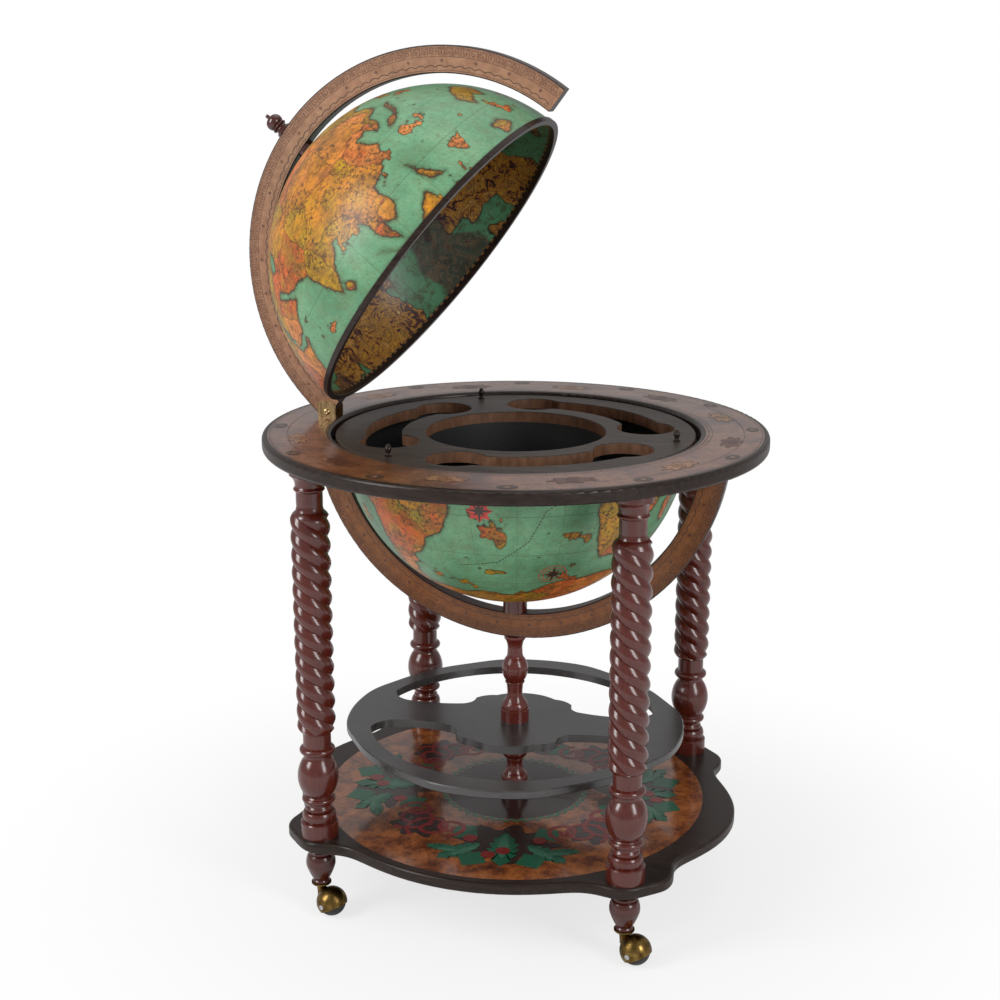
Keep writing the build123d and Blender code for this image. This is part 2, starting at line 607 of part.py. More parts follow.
def make_lid():
    trim_bottom = GLOBE_Z
    shell_bottom = trim_bottom + LID_TRIM_FLOOR
    shell = (globe(GLOBE_R) - globe(SHELL_INNER_R)) & above(shell_bottom)
    trim = tube(GLOBE_R + LID_TRIM_OUTER_LIP, SHELL_INNER_R - LID_TRIM_INNER_LIP,
                trim_bottom, trim_bottom + LID_TRIM_HEIGHT)
    trim = fillet(trim.edges().filter_by(GeomType.CIRCLE), 0.8)
    trim -= shell
    pole = GLOBE_Z + GLOBE_R
    bolt_hole = disc(FINIAL_BOLT_R + FIXED, GLOBE_Z, GLOBE_Z + LID_ARC_OUTER_R + 1)
    save(opened(shell - bolt_hole), "lid_shell")
    save(opened(trim), "lid_rim")

    arc = about_y(LID_ARC_OUTER_R, ARC_THICK) - about_y(LID_ARC_INNER_R, 2 * ARC_THICK)
    arc = fillet(arc.edges().filter_by(GeomType.CIRCLE), ARC_EDGE_R)
    arc &= above(RING_TOP + LID_ARC_END_GAP)
    heel = HINGE_Z - ARC_HEEL
    near_hinge = Pos(HINGE_X, 0, heel - FAR / 2) * Box(RING_OUTER_R, FAR, FAR)
    arc -= near_hinge
    arc -= bolt_hole
    arc = opened(arc) - below(heel)
    arc -= hinge_bore(PIN_R + RUNNING, 2 * ARC_THICK)
    save(arc, "lid_meridian")

    save(opened(radial_spacer(POLE_SPACER_R) - bolt_hole), "pole_spacer")
    lean = Pos(*CENTRE) * Rot(0, FOOT_SPACER_ELEVATION - 90, 0) * Pos(0, 0, -GLOBE_Z)
    save(opened(lean * radial_spacer(FOOT_SPACER_R)), "foot_spacer")

    top = GLOBE_Z + LID_ARC_OUTER_R
    finial = turned([
        (-1, 12, 0), (4, 12, 0), (6, 9.5, -0.4), (9, 8.5, -0.5), (11, 11, 0), (13, 11, 0.5),
        (14, 9, 0), (31, 4.5, 5.5), (32.5, 2.6, 0), (34, 2.6, 0), (38, 0.8, 1.0),
    ])
    finial = Pos(0, 0, top) * finial - about_y(LID_ARC_OUTER_R, 2 * ARC_THICK)
    finial -= disc(FINIAL_BOLT_R + FIXED, top - 2, top + 12)
    save(opened(finial), "finial")
    seat = GLOBE_Z + sqrt(SHELL_INNER_R ** 2 - WASHER_R ** 2)
    bolt = disc(FINIAL_BOLT_R, seat - WASHER_THICK, top + 11)
    bolt += disc(WASHER_R, seat - WASHER_THICK, seat)
    bolt += Pos(0, 0, seat - WASHER_THICK - 3) * extrude(RegularPolygon(6, 6), 3)
    save(opened(bolt), "finial_bolt")


# ---------------------------------------------------------------- ball casters

def make_casters():
    """Socket in the foot, swivelling horn and hood, axle and ball wheel. Drawn with the stem on
    Z and the wheel trailing along +X."""
    hood_r = BALL_R + HOOD_GAP + HOOD_WALL
    centre = Pos(CASTER_TRAIL, 0, BALL_R)
    flange_bottom = FOOT_BOTTOM - FLANGE_THICK
    stem_top = FOOT_BOTTOM + STEM_LENGTH

    socket = disc(FLANGE_R, flange_bottom, FOOT_BOTTOM)
    socket = chamfer(socket.edges().sort_by(Axis.Z)[0], 1.0)
    socket += disc(STEM_R + SLEEVE_WALL, FOOT_BOTTOM, stem_top + 1)
    socket -= disc(STEM_R + RUNNING, flange_bottom - 1, stem_top + 0.3)

    horn_top = flange_bottom - SWIVEL_GAP
    horn = turned([(BALL_R + 4, HORN_R - 3, 0), (BALL_R + 8, HORN_R - 1, 1), (horn_top - 3, HORN_R, 0),
                   (horn_top - 1, HORN_R + 1.5, 0), (horn_top, HORN_R + 1.5, 0)])
    horn += disc(STEM_R, horn_top - 1, stem_top)
    cut = Rot(0, -HOOD_TILT, 0) * Pos(0, 0, -HOOD_CUT - hood_r) * Box(4 * hood_r, 4 * hood_r, 2 * hood_r)
    shell = centre * (Sphere(hood_r) - cut)
    hood = (shell + horn) - centre * Sphere(BALL_R + HOOD_GAP)
    across = centre * Rot(90, 0, 0)
    hood -= across * Cylinder(AXLE_R + FIXED / 2, 4 * hood_r)

    axle = across * Cylinder(AXLE_R, 2 * hood_r)
    head = across * Cylinder(AXLE_HEAD_R, 2 * (hood_r + AXLE_HEAD_HEIGHT))
    axle += head - centre * Sphere(hood_r)
    ball = Sphere(BALL_R) & Box(4 * BALL_R, 2 * BALL_HALF_WIDTH, 4 * BALL_R)
    ball += Rot(90, 0, 0) * Cylinder(HUB_R, 2 * HUB_HALF_WIDTH)
    ball -= Rot(90, 0, 0) * Cylinder(AXLE_R + RUNNING, 4 * BALL_R)

    for name, (x, y) in leg_places():
        place = Pos(x, y) * Rot(0, 0, CASTER_AZIMUTH)
        save(place * socket, "caster_socket_" + name)
        save(place * hood, "caster_hood_" + name)
        save(place * axle, "caster_axle_" + name)
        save(place * centre * ball, "caster_ball_" + name)


make_base()
make_legs_and_feet()
make_shelf()
make_spindles()
make_centre_rod()
make_ring()
make_lower_arc()
make_bowl()
make_divider()
make_hinge()
make_lid()
make_casters()
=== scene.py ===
import bpy
import numpy as np
from math import radians
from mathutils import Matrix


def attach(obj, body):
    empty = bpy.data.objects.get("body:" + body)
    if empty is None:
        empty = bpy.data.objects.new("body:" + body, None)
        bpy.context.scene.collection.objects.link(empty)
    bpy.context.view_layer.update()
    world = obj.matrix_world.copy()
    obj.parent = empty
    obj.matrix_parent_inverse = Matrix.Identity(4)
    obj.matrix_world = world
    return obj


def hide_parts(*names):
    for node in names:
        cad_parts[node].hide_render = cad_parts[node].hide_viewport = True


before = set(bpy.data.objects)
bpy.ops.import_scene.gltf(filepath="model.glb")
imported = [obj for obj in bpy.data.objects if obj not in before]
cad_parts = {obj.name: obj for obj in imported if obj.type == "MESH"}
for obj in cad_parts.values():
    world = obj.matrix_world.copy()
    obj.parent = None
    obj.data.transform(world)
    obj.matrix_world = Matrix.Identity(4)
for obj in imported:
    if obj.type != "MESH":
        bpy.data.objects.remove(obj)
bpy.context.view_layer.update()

# ---------------------------------------------------------------- camera
# A long lens a little above the horizon ring, looking down at the bar from the front right.

camera = bpy.data.cameras.new("camera")
camera.lens = 57.69
camera.sensor_width = 36.0
camera_object = bpy.data.objects.new("camera", camera)
camera_object.location = (0.6531, -2.1759, 1.1984)
camera_object.rotation_euler = (radians(90 - 15.105), 0, radians(17.278))
bpy.context.collection.objects.link(camera_object)
bpy.context.scene.camera = camera_object
bpy.context.scene.view_settings.view_transform = "Standard"

# ---------------------------------------------------------------- light
# Two tall soft boxes left and right of the camera, a weaker one overhead, and an even pale
# surround that shows white to the camera.


def soft_box(name, place, target, size, watts):
    """Area lamp at place, turned towards target."""
    lamp = bpy.data.lights.new(name, "AREA")
    lamp.shape = "RECTANGLE"
    lamp.size, lamp.size_y = size
    lamp.energy = watts
    lamp_object = bpy.data.objects.new(name, lamp)
    bpy.context.collection.objects.link(lamp_object)
    lamp_object.location = place
    aim = np.array(target) - np.array(place)
    yaw = np.arctan2(aim[1], aim[0]) - np.pi / 2
    pitch = np.arctan2(aim[2], np.hypot(aim[0], aim[1])) + np.pi / 2
    lamp_object.rotation_euler = (pitch, 0, yaw)


soft_box("soft_box_left", (-2.3, -2.2, 2.3), (0, 0, 0.7), (1.2, 2.2), 78)
soft_box("soft_box_right", (2.9, -1.7, 1.9), (0, 0, 0.6), (1.0, 2.2), 55)
soft_box("soft_box_top", (0.0, 0.6, 3.4), (0, 0, 0.6), (2.4, 2.4), 16)


def step(tree, kind, *values, **settings):
    """Add a shader node. Values go to its inputs in order: a socket is linked, None is left."""
    added = tree.nodes.new("ShaderNode" + kind)
    for key, value in settings.items():
        setattr(added, key, value)
    for socket, value in zip(added.inputs, values):
        if isinstance(value, bpy.types.NodeSocket):
            tree.links.new(value, socket)
        elif value is not None:
            socket.default_value = value
    return added.outputs[0]


def shown_rays(tree):
    """1 on the rays that show the surround as a picture: camera and transmission."""
    rays = tree.nodes.new("ShaderNodeLightPath").outputs
    return step(tree, "Math", rays["Is Camera Ray"], rays["Is Transmission Ray"], operation="MAXIMUM")


world = bpy.data.worlds.new("surround")
world.use_nodes = True
bpy.context.scene.world = world
sky = world.node_tree
lighting = sky.nodes["Background"]
lighting.inputs["Color"].default_value = (1.0, 1.0, 1.0, 1)
lighting.inputs["Strength"].default_value = 0.44
shown = step(sky, "Background", (1.0, 1.0, 1.0, 1), 1.0)
chosen = step(sky, "MixShader", shown_rays(sky), lighting.outputs[0], shown)
sky.links.new(chosen, sky.nodes["World Output"].inputs["Surface"])

# ---------------------------------------------------------------- floor
# A pale seamless floor. Near the bar it is in part a matt white that takes the shadow, and further
# out it turns wholly to the white of the surround.

FLOOR_R = 14.0
FLOOR_CORNERS = 96
SHADOW_R = (0.40, 0.95)
NEAR_WHITE = 0.74             # share of the surround's white on the floor near the bar

corner = np.linspace(0, 2 * np.pi, FLOOR_CORNERS, endpoint=False)
floor_mesh = bpy.data.meshes.new("floor")
floor_mesh.from_pydata(
    np.stack([FLOOR_R * np.cos(corner), FLOOR_R * np.sin(corner), 0 * corner], 1).tolist(),
    [], [list(range(FLOOR_CORNERS))])
floor = bpy.data.objects.new("floor", floor_mesh)
bpy.context.collection.objects.link(floor)
floor_paint = bpy.data.materials.new("floor_paint")
floor_paint.use_nodes = True
paint = floor_paint.node_tree
matt = paint.nodes["Principled BSDF"]
matt.inputs["Base Color"].default_value = (0.86, 0.86, 0.86, 1)
matt.inputs["Roughness"].default_value = 0.9
where = paint.nodes.new("ShaderNodeTexCoord").outputs["Object"]
reach = step(paint, "VectorMath", where, operation="LENGTH").node.outputs["Value"]
fade = step(paint, "MapRange", reach, *SHADOW_R, NEAR_WHITE, interpolation_type="SMOOTHSTEP")
both = step(paint, "Math", fade, shown_rays(paint), operation="MULTIPLY")
lit = step(paint, "MixShader", both, matt.outputs[0], step(paint, "Emission"))
paint.links.new(lit, paint.nodes["Material Output"].inputs["Surface"])
floor_mesh.materials.append(floor_paint)

# ---------------------------------------------------------------- legs, feet and spindles
# Turned and twisted beech, stained a dark red mahogany and lacquered to a gloss. The grain runs
# up each piece, and the stain lies darker in soft clouds.


def finish(name, roughness, **sockets):
    """New material: its node tree and shader, with the constant sockets set."""
    made = bpy.data.materials.new(name)
    made.use_nodes = True
    shader = made.node_tree.nodes["Principled BSDF"]
    shader.inputs["Roughness"].default_value = roughness
    for socket, value in sockets.items():
        shader.inputs[socket.replace("_", " ")].default_value = value
    return made, made.node_tree, shader


def span(tree, value, low, high, start, end):
    """Value from low to high taken to start to end, and held beyond both."""
    return step(tree, "MapRange", value, low, high, start, end, clamp=True)


def work(tree, operation, a, b=None, c=None, clamp=False):
    return step(tree, "Math", a, b, c, operation=operation, use_clamp=clamp)


def tint(tree, share, under, over, how="MIX"):
    """Colour under, with colour over laid on it by share."""
    added = tree.nodes.new("ShaderNodeMix")
    added.data_type = "RGBA"
    added.blend_type = how
    for socket, value in ((added.inputs[0], share), (added.inputs[6], under), (added.inputs[7], over)):
        if isinstance(value, bpy.types.NodeSocket):
            tree.links.new(value, socket)
        else:
            socket.default_value = (*value, 1) if isinstance(value, tuple) else value
    return added.outputs[2]


def ramp(tree, value, *stops, how="LINEAR"):
    """Colour ramp with (place, colour) stops."""
    added = tree.nodes.new("ShaderNodeValToRGB")
    added.color_ramp.interpolation = how
    marks = added.color_ramp.elements
    while len(marks) < len(stops):
        marks.new(0.5)
    for mark, (place, colour) in zip(marks, stops):
        mark.position = place
        mark.color = (*colour, 1)
    tree.links.new(value, added.inputs[0])
    return added.outputs[0]


def noise(tree, where, scale, detail=4.0, rough=0.55, twist=0.0):
    """Noise value, 0 to 1, with scale in waves per metre."""
    return step(tree, "TexNoise", where, None, scale, detail, rough, None, None, None, twist)


def squeeze(tree, where, x, y, z):
    """Stretch coordinates, so that a pattern is drawn out along the axes with small values."""
    return step(tree, "Mapping", where, None, None, (x, y, z))


def here(tree):
    """Place on the piece, in metres."""
    return tree.nodes.new("ShaderNodeTexCoord").outputs["Object"]


def axes_of(tree, vector):
    """The x, y and z of a vector."""
    return step(tree, "SeparateXYZ", vector).node.outputs


def cell_pattern(tree, where, scale, feature="F1"):
    """Outputs of a cell pattern, with scale in cells per metre."""
    return step(tree, "TexVoronoi", where, None, scale, feature=feature).node.outputs


def relief(tree, shader, height, depth, strength=0.3):
    """Bump from a height value; depth is in metres."""
    bump = tree.nodes.new("ShaderNodeBump")
    bump.inputs["Strength"].default_value = strength
    bump.inputs["Distance"].default_value = depth
    tree.links.new(height, bump.inputs["Height"])
    tree.links.new(bump.outputs["Normal"], shader.inputs["Normal"])


def colour_by(tree, shader, colour):
    tree.links.new(colour, shader.inputs["Base Color"])


def dress(material, *names):
    """Give CAD nodes a finish."""
    for name in names:
        target = bpy.data.objects[name]
        target.data.materials.clear()
        target.data.materials.append(material)


def stained(name, lighter):
    """Mahogany stain, with its red lighter by a factor."""
    made, tree, shader = finish(name, 0.28, Coat_Weight=0.4, Coat_Roughness=0.12)
    at = here(tree)
    grain = noise(tree, squeeze(tree, at, 1, 1, 0.06), 260, 5, 0.6, 0.4)
    cloud = noise(tree, squeeze(tree, at, 1, 1, 0.35), 22, 3)
    shades = ((0.30, (0.068, 0.0070, 0.0038)), (0.52, (0.100, 0.0118, 0.0058)),
              (0.72, (0.120, 0.0155, 0.0078)))
    red = ramp(tree, grain, *((place, tuple(lighter * c for c in colour)) for place, colour in shades))
    red = tint(tree, work(tree, "MULTIPLY", cloud, 0.55), red, (0.045, 0.009, 0.006))
    colour_by(tree, shader, red)
    tree.links.new(work(tree, "MULTIPLY_ADD", grain, 0.06, 0.21), shader.inputs["Roughness"])
    relief(tree, shader, grain, 0.0003, 0.12)
    return made


mahogany = stained("mahogany", 0.95)
corners = ("back_right", "back_left", "front_left", "front_right")
dress(mahogany, *("leg_" + c for c in corners), "south_spacer")
dark_mahogany = stained("dark_mahogany", 0.6)
dress(dark_mahogany, *("foot_" + c for c in corners))
# The spindles get the same stain painted lighter: painted light, making up for the shade they stand in.
dress(stained("painted_lit_mahogany", 1.45), "upper_spindle", "lower_spindle")

# ---------------------------------------------------------------- ring, shelf, base and rims
# Board cut to shape and rounded over, stained espresso and lacquered to a satin that mirrors a
# little. The grain is close and nearly black.


def board(name, dark, light, gloss):
    """Stained board in two colours; gloss is the reflection level and half the coat."""
    made, tree, shader = finish(name, 0.33, Specular_IOR_Level=gloss, Coat_Weight=gloss / 2,
                                Coat_Roughness=0.18)
    grain = noise(tree, squeeze(tree, here(tree), 0.08, 1, 1), 190, 5, 0.6, 0.3)
    colour_by(tree, shader, ramp(tree, grain, (0.3, dark), (0.7, light)))
    tree.links.new(work(tree, "MULTIPLY_ADD", grain, 0.2, 0.24), shader.inputs["Roughness"])
    relief(tree, shader, grain, 0.0003, 0.08)
    return made


espresso = board("espresso_board", (0.010, 0.0055, 0.0040), (0.030, 0.0170, 0.0125), 0.22)
dress(espresso, "base_plate", "horizon_ring", "bowl_rim", "lid_rim", "divider_pegs")
dress(board("espresso_shelf", (0.018, 0.016, 0.016), (0.046, 0.042, 0.042), 0.75), "mid_shelf")

# ---------------------------------------------------------------- half globes
# Two moulded shells faced with a printed world map under varnish. The bowl shows the southern
# half and is black inside, and the lid shows the northern half and is printed inside too. Coasts
# are distances worked out from a few outline points, so that they stay sharp at any size.

GLOBE_R = 0.250
SHELL_WALL = 0.005
GLOBE_Z = 0.691
BOWL_RIM_Z = -0.017           # cut edges, from the globe's centre
LID_RIM_Z = 0.002
HINGE_X, HINGE_Z = -0.290, 0.702
OPEN = radians(53)
METRES_PER_DEGREE = GLOBE_R * np.pi / 180
BOWL_TURN = 57.7              # map longitude that faces +X
LID_TURN = 177.0
BOWL_ROWS, LID_ROWS, COLUMNS = 100, 108, 440
SOUTH_EDGE = -51              # mean latitude of the far southern coast
COAST_REACH = 12              # degrees from a coast at which its distance is cut off

LANDS = {
    "south_america": [
        (-80, 1), (-78, 8), (-72, 12), (-62, 10), (-52, 5), (-50, 0), (-44, -2), (-35, -6), (-37, -12),
        (-39, -18), (-42, -23), (-48, -26), (-52, -32), (-58, -35), (-57, -38), (-62, -40), (-65, -45),
        (-66, -50), (-69, -54), (-74, -52), (-75, -46), (-73, -38), (-71, -30), (-70, -18), (-76, -14),
        (-81, -6)],
    "africa": [
        (-17, 15), (-16, 21), (-10, 29), (-6, 35), (3, 37), (10, 37), (20, 31), (31, 31), (34, 28),
        (37, 20), (43, 12), (51, 12), (46, 3), (40, -4), (40, -14), (35, -20), (33, -27), (26, -34),
        (18, -34), (14, -24), (12, -16), (13, -8), (9, 0), (8, 4), (-4, 5), (-8, 4), (-13, 9)],
    "madagascar": [(49, -12), (50, -17), (47, -25), (44, -24), (44, -17)],
    "europe_and_asia": [
        (-9, 37), (-9, 43), (-2, 43), (-4, 48), (2, 51), (8, 54), (9, 57), (12, 54), (20, 55),
        (24, 59), (30, 60), (22, 60), (22, 65), (17, 61), (17, 57), (12, 56), (7, 58), (5, 61),
        (12, 66), (20, 70), (30, 71), (41, 67), (55, 69), (68, 73), (80, 74), (100, 77), (112, 74),
        (130, 72), (150, 72), (170, 70), (180, 68), (178, 64), (165, 61), (162, 56), (157, 51),
        (156, 58), (150, 60), (138, 55), (140, 48), (131, 43), (129, 36), (126, 35), (125, 40),
        (118, 39), (122, 31), (116, 23), (108, 21), (109, 12), (105, 9), (101, 13), (103, 2), (99, 9),
        (97, 17), (91, 22), (87, 21), (80, 14), (77, 8), (73, 17), (70, 22), (61, 25), (56, 27),
        (50, 30), (48, 29), (55, 25), (59, 22), (53, 16), (44, 13), (39, 21), (35, 28), (35, 36),
        (27, 37), (28, 41), (22, 37), (19, 42), (13, 45), (18, 40), (15, 38), (10, 44), (3, 43),
        (0, 39), (-5, 36)],
    "north_america": [
        (-168, 66), (-156, 71), (-125, 70), (-95, 69), (-82, 68), (-93, 60), (-85, 55), (-79, 52),
        (-78, 60), (-70, 61), (-62, 57), (-56, 52), (-66, 48), (-64, 45), (-70, 42), (-75, 37),
        (-81, 31), (-80, 26), (-84, 30), (-90, 29), (-97, 27), (-96, 19), (-90, 21), (-87, 16),
        (-83, 14), (-80, 8), (-86, 11), (-95, 16), (-105, 20), (-113, 30), (-117, 33), (-124, 40),
        (-124, 48), (-135, 58), (-150, 60), (-163, 56), (-160, 60)],
    "greenland": [(-45, 60), (-52, 68), (-60, 76), (-40, 82), (-20, 80), (-22, 70), (-38, 65)],
    "australia": [
        (114, -22), (115, -34), (124, -33), (131, -32), (138, -35), (146, -39), (150, -37), (153, -28),
        (146, -19), (142, -11), (139, -17), (131, -12), (122, -18)],
    "new_guinea": [(131, -1), (141, -3), (150, -10), (143, -9), (137, -7)],
    "borneo": [(109, 1), (117, 7), (119, 1), (115, -4), (110, -3)],
    "sumatra": [(95, 6), (104, -2), (106, -6), (101, -2)],
    "java": [(105, -6), (112, -7), (115, -8), (108, -8)],
    "celebes": [(119, -4), (120, 1), (125, 2), (122, -1), (123, -5)],
    "philippines": [(120, 18), (122, 14), (126, 7), (122, 8), (120, 13)],
    "japan": [(130, 32), (136, 34), (141, 37), (142, 43), (145, 44), (140, 41), (137, 37), (131, 34)],
    "ceylon": [(80, 10), (82, 7), (81, 6), (79, 8)],
    "britain": [(-5, 50), (1, 51), (-2, 56), (-4, 58), (-6, 56), (-3, 53)],
    "iceland": [(-24, 65), (-18, 66), (-14, 65), (-19, 63)],
    "new_zealand": [(173, -35), (178, -38), (171, -45), (167, -46), (173, -40)],
    "pacific_islands": [(158, 18), (163, 22), (168, 20), (172, 26), (168, 31), (161, 29), (155, 24)],
    "spice_islands": [(150, 8), (155, 9), (158, 5), (152, 3)],
    "hawaii": [(-160, 22), (-156, 21), (-155, 19), (-158, 20)],
}
INLAND_SEAS = {
    "caspian": [(50, 46), (53, 42), (53, 37), (49, 38), (47, 43)],
    "black_sea": [(28, 43), (32, 46), (40, 43), (36, 41), (30, 41)],
    "hudson_bay": [(-92, 60), (-84, 63), (-79, 60), (-80, 54), (-86, 57)],
}


def outline_distance(lon, lat, outline):
    """Signed distance in degrees from each place to a closed outline, plus inside: the least
    distance to any side, with longitudes shrunk by cos(latitude), and an even-odd crossing count."""
    points = np.array(outline, float)
    lon = (lon - points[:, 0].mean() + 180) % 360 - 180 + points[:, 0].mean()
    shrink = np.cos(np.radians(lat))
    nearest = np.full(lon.shape, 1e9)
    inside = np.zeros(lon.shape, bool)
    for (x0, y0), (x1, y1) in zip(points, np.roll(points, -1, 0)):
        dx, dy = (x1 - x0) * shrink, y1 - y0
        px, py = (lon - x0) * shrink, lat - y0
        along = np.clip((px * dx + py * dy) / (dx * dx + dy * dy + 1e-9), 0, 1)
        nearest = np.minimum(nearest, (px - along * dx) ** 2 + (py - along * dy) ** 2)
        if y0 != y1:
            crosses = (lat >= min(y0, y1)) & (lat < max(y0, y1))
            inside ^= crosses & (lon < x0 + (lat - y0) * (x1 - x0) / (y1 - y0))
    return np.where(inside, 1, -1) * np.sqrt(nearest)


def coast_distance(lon, lat):
    """Distance to the nearest coast in metres, plus on land. The far south is one old-style land,
    whose edge is a latitude that wavers as a sum of three sines."""
    edge = SOUTH_EDGE + 5 * np.sin(np.radians(2 * lon + 40)) + 3 * np.sin(np.radians(5 * lon)) \
        + 1.5 * np.sin(np.radians(11 * lon + 70))
    coast = edge - lat
    for outline in LANDS.values():
        coast = np.maximum(coast, outline_distance(lon, lat, outline))
    for outline in INLAND_SEAS.values():
        coast = np.minimum(coast, -outline_distance(lon, lat, outline))
    return np.clip(coast, -COAST_REACH, COAST_REACH) * METRES_PER_DEGREE


def opened(points):
    """Turn points drawn with the lid shut about the hinge pin to where they stand when open."""
    x, y, z = points[..., 0] - HINGE_X, points[..., 1], points[..., 2] - HINGE_Z
    return np.stack([HINGE_X + np.cos(OPEN) * x - np.sin(OPEN) * z, y,
                     HINGE_Z + np.sin(OPEN) * x + np.cos(OPEN) * z], -1)


def half_globe(name, rim_z, pole, turn, rows, columns, place):
    """Half shell as two spheres on a grid of polar angle and azimuth, joined at the rim: a point is
    the centre plus r (sin t cos a, sin t sin a, pole cos t), with t from the pole to the rim."""
    vertices, faces, uv, kinds = [], [], [], []
    for layer, r in enumerate((GLOBE_R, GLOBE_R - SHELL_WALL)):
        t = np.linspace(0, np.arccos(abs(rim_z) / r), rows + 1)[1:, None]
        a = np.linspace(0, 2 * np.pi, columns, endpoint=False)[None]
        grid = np.stack([r * np.sin(t) * np.cos(a), r * np.sin(t) * np.sin(a),
                         pole * r * np.cos(t) + 0 * a], -1).reshape(-1, 3)
        start = sum(map(len, vertices))
        vertices.append(np.vstack([grid, [(0, 0, pole * r)]]))
        i, j = np.meshgrid(np.arange(rows - 1), np.arange(columns), indexing="ij")
        i, j = i.ravel(), j.ravel()
        k = (j + 1) % columns
        quads = np.stack([i * columns + j, (i + 1) * columns + j, (i + 1) * columns + k,
                          i * columns + k], 1) + start
        lat = pole * (90 - np.degrees(t.ravel()))
        u = np.stack([j, j, j + 1, j + 1], 1) / columns + turn / 360
        v = np.stack([lat[i], lat[i + 1], lat[i + 1], lat[i]], 1) / 90
        j = np.arange(columns)
        fan = np.stack([np.full(columns, rows * columns), j, (j + 1) % columns], 1) + start
        fan_u = np.stack([j + 0.5, j, j + 1], 1) / columns + turn / 360
        fan_v = np.stack([np.full(columns, pole), np.full(columns, lat[0] / 90),
                          np.full(columns, lat[0] / 90)], 1)
        if (pole < 0) != (layer == 1):
            quads, u, v, fan, fan_u, fan_v = (m[:, ::-1] for m in (quads, u, v, fan, fan_u, fan_v))
        faces += quads.tolist() + fan.tolist()
        uv += [np.stack([u, v], -1).reshape(-1, 2), np.stack([fan_u, fan_v], -1).reshape(-1, 2)]
        kinds += [layer] * (len(quads) + columns)
    j = np.arange(columns)
    k = (j + 1) % columns
    edge = (rows - 1) * columns
    inner = rows * columns + 1 + edge
    band = np.stack([edge + j, inner + j, inner + k, edge + k], 1)
    faces += (band if pole > 0 else band[:, ::-1]).tolist()
    kinds += [1] * columns
    uv.append(np.zeros((4 * columns, 2)))
    flat = np.vstack(vertices)
    lat = np.degrees(np.arcsin(np.clip(flat[:, 2] / np.linalg.norm(flat, axis=1), -1, 1)))
    lon = np.degrees(np.arctan2(flat[:, 1], flat[:, 0])) + turn
    mesh = bpy.data.meshes.new(name)
    mesh.from_pydata(place(flat + (0, 0, GLOBE_Z)).tolist(), [], faces)
    mesh.uv_layers.new(name="map").data.foreach_set("uv", np.vstack(uv).ravel())
    mesh.attributes.new("coast", "FLOAT", "POINT").data.foreach_set("value", coast_distance(lon, lat))
    mesh.polygons.foreach_set("material_index", kinds)
    mesh.polygons.foreach_set("use_smooth", [True] * len(faces))
    mesh.set_sharp_from_angle(angle=radians(50))
    shell = bpy.data.objects.new(name, mesh)
    bpy.context.collection.objects.link(shell)
    return shell


def shaken(tree, where, scale, amount):
    """Coordinates pushed about by noise, up to amount metres."""
    push = tree.nodes.new("ShaderNodeTexNoise")
    push.inputs["Scale"].default_value = scale
    push.inputs["Detail"].default_value = 3
    tree.links.new(where, push.inputs["Vector"])
    centred = step(tree, "VectorMath", push.outputs["Color"], (0.5, 0.5, 0.5), operation="SUBTRACT")
    return step(tree, "VectorMath", centred, (amount * 2,) * 3, where, operation="MULTIPLY_ADD")


def map_lines(tree, across, down, share):
    """Net of meridians and parallels on the piece's own map, across and down to the quarter turn."""
    sheet = tree.nodes.new("ShaderNodeUVMap")
    sheet.uv_map = "map"
    parts = axes_of(tree, sheet.outputs[0])
    lines = []
    for value, count, width in ((parts[0], 4 * across, 0.005), (parts[1], down, 0.007)):
        saw = work(tree, "FRACT", work(tree, "MULTIPLY", value, count))
        lines.append(work(tree, "GREATER_THAN", work(tree, "ABSOLUTE", work(tree, "SUBTRACT", saw, 0.5)),
                          0.5 - width))
    return work(tree, "MULTIPLY", work(tree, "MAXIMUM", *lines), share), parts


world_map, tree, shader = finish("world_map", 0.44, Specular_IOR_Level=0.30, Coat_Weight=0.22,
                                 Coat_Roughness=0.25)
at = here(tree)
coast = tree.nodes.new("ShaderNodeAttribute")
coast.attribute_name = "coast"
bays = work(tree, "MULTIPLY_ADD", noise(tree, at, 34, 5, 0.6), 0.020, -0.010)
inlets = work(tree, "MULTIPLY_ADD", noise(tree, at, 210, 4, 0.6), 0.005, -0.0025)
shore = work(tree, "ADD", work(tree, "ADD", coast.outputs["Fac"], bays), inlets)
waters = work(tree, "MINIMUM", work(tree, "MULTIPLY_ADD", noise(tree, at, 7, 2), 1.5, -0.78), 0.0)
islets = work(tree, "ADD", noise(tree, at, 24, 3, 0.55), waters)
shore = work(tree, "MAXIMUM", shore, work(tree, "MULTIPLY_ADD", islets, 0.17, -0.101))
land = work(tree, "GREATER_THAN", shore, 0.0)
sea_colour = ramp(tree, noise(tree, at, 14, 6, 0.68), (0.30, (0.085, 0.225, 0.115)),
                  (0.52, (0.140, 0.335, 0.180)), (0.75, (0.215, 0.410, 0.230)))
ripple = noise(tree, squeeze(tree, at, 1, 1, 2.2), 210, 5, 0.7)
ripple = span(tree, ripple, 0.52, 0.66, 0.0, 0.45)
sea_colour = tint(tree, ripple, sea_colour, (0.045, 0.085, 0.035))
shallows = span(tree, shore, -0.0055, 0.0, 0.0, 0.85)
sea_colour = tint(tree, shallows, sea_colour, (0.050, 0.090, 0.032))
CELLS_PER_METRE = 11.0
cells = shaken(tree, at, 16, 0.030)
region = cell_pattern(tree, cells, CELLS_PER_METRE)
region_mix = work(tree, "ADD", work(tree, "MULTIPLY", region["Color"], 0.8),
                  work(tree, "MULTIPLY_ADD", noise(tree, at, 28, 4), 0.6, -0.2))
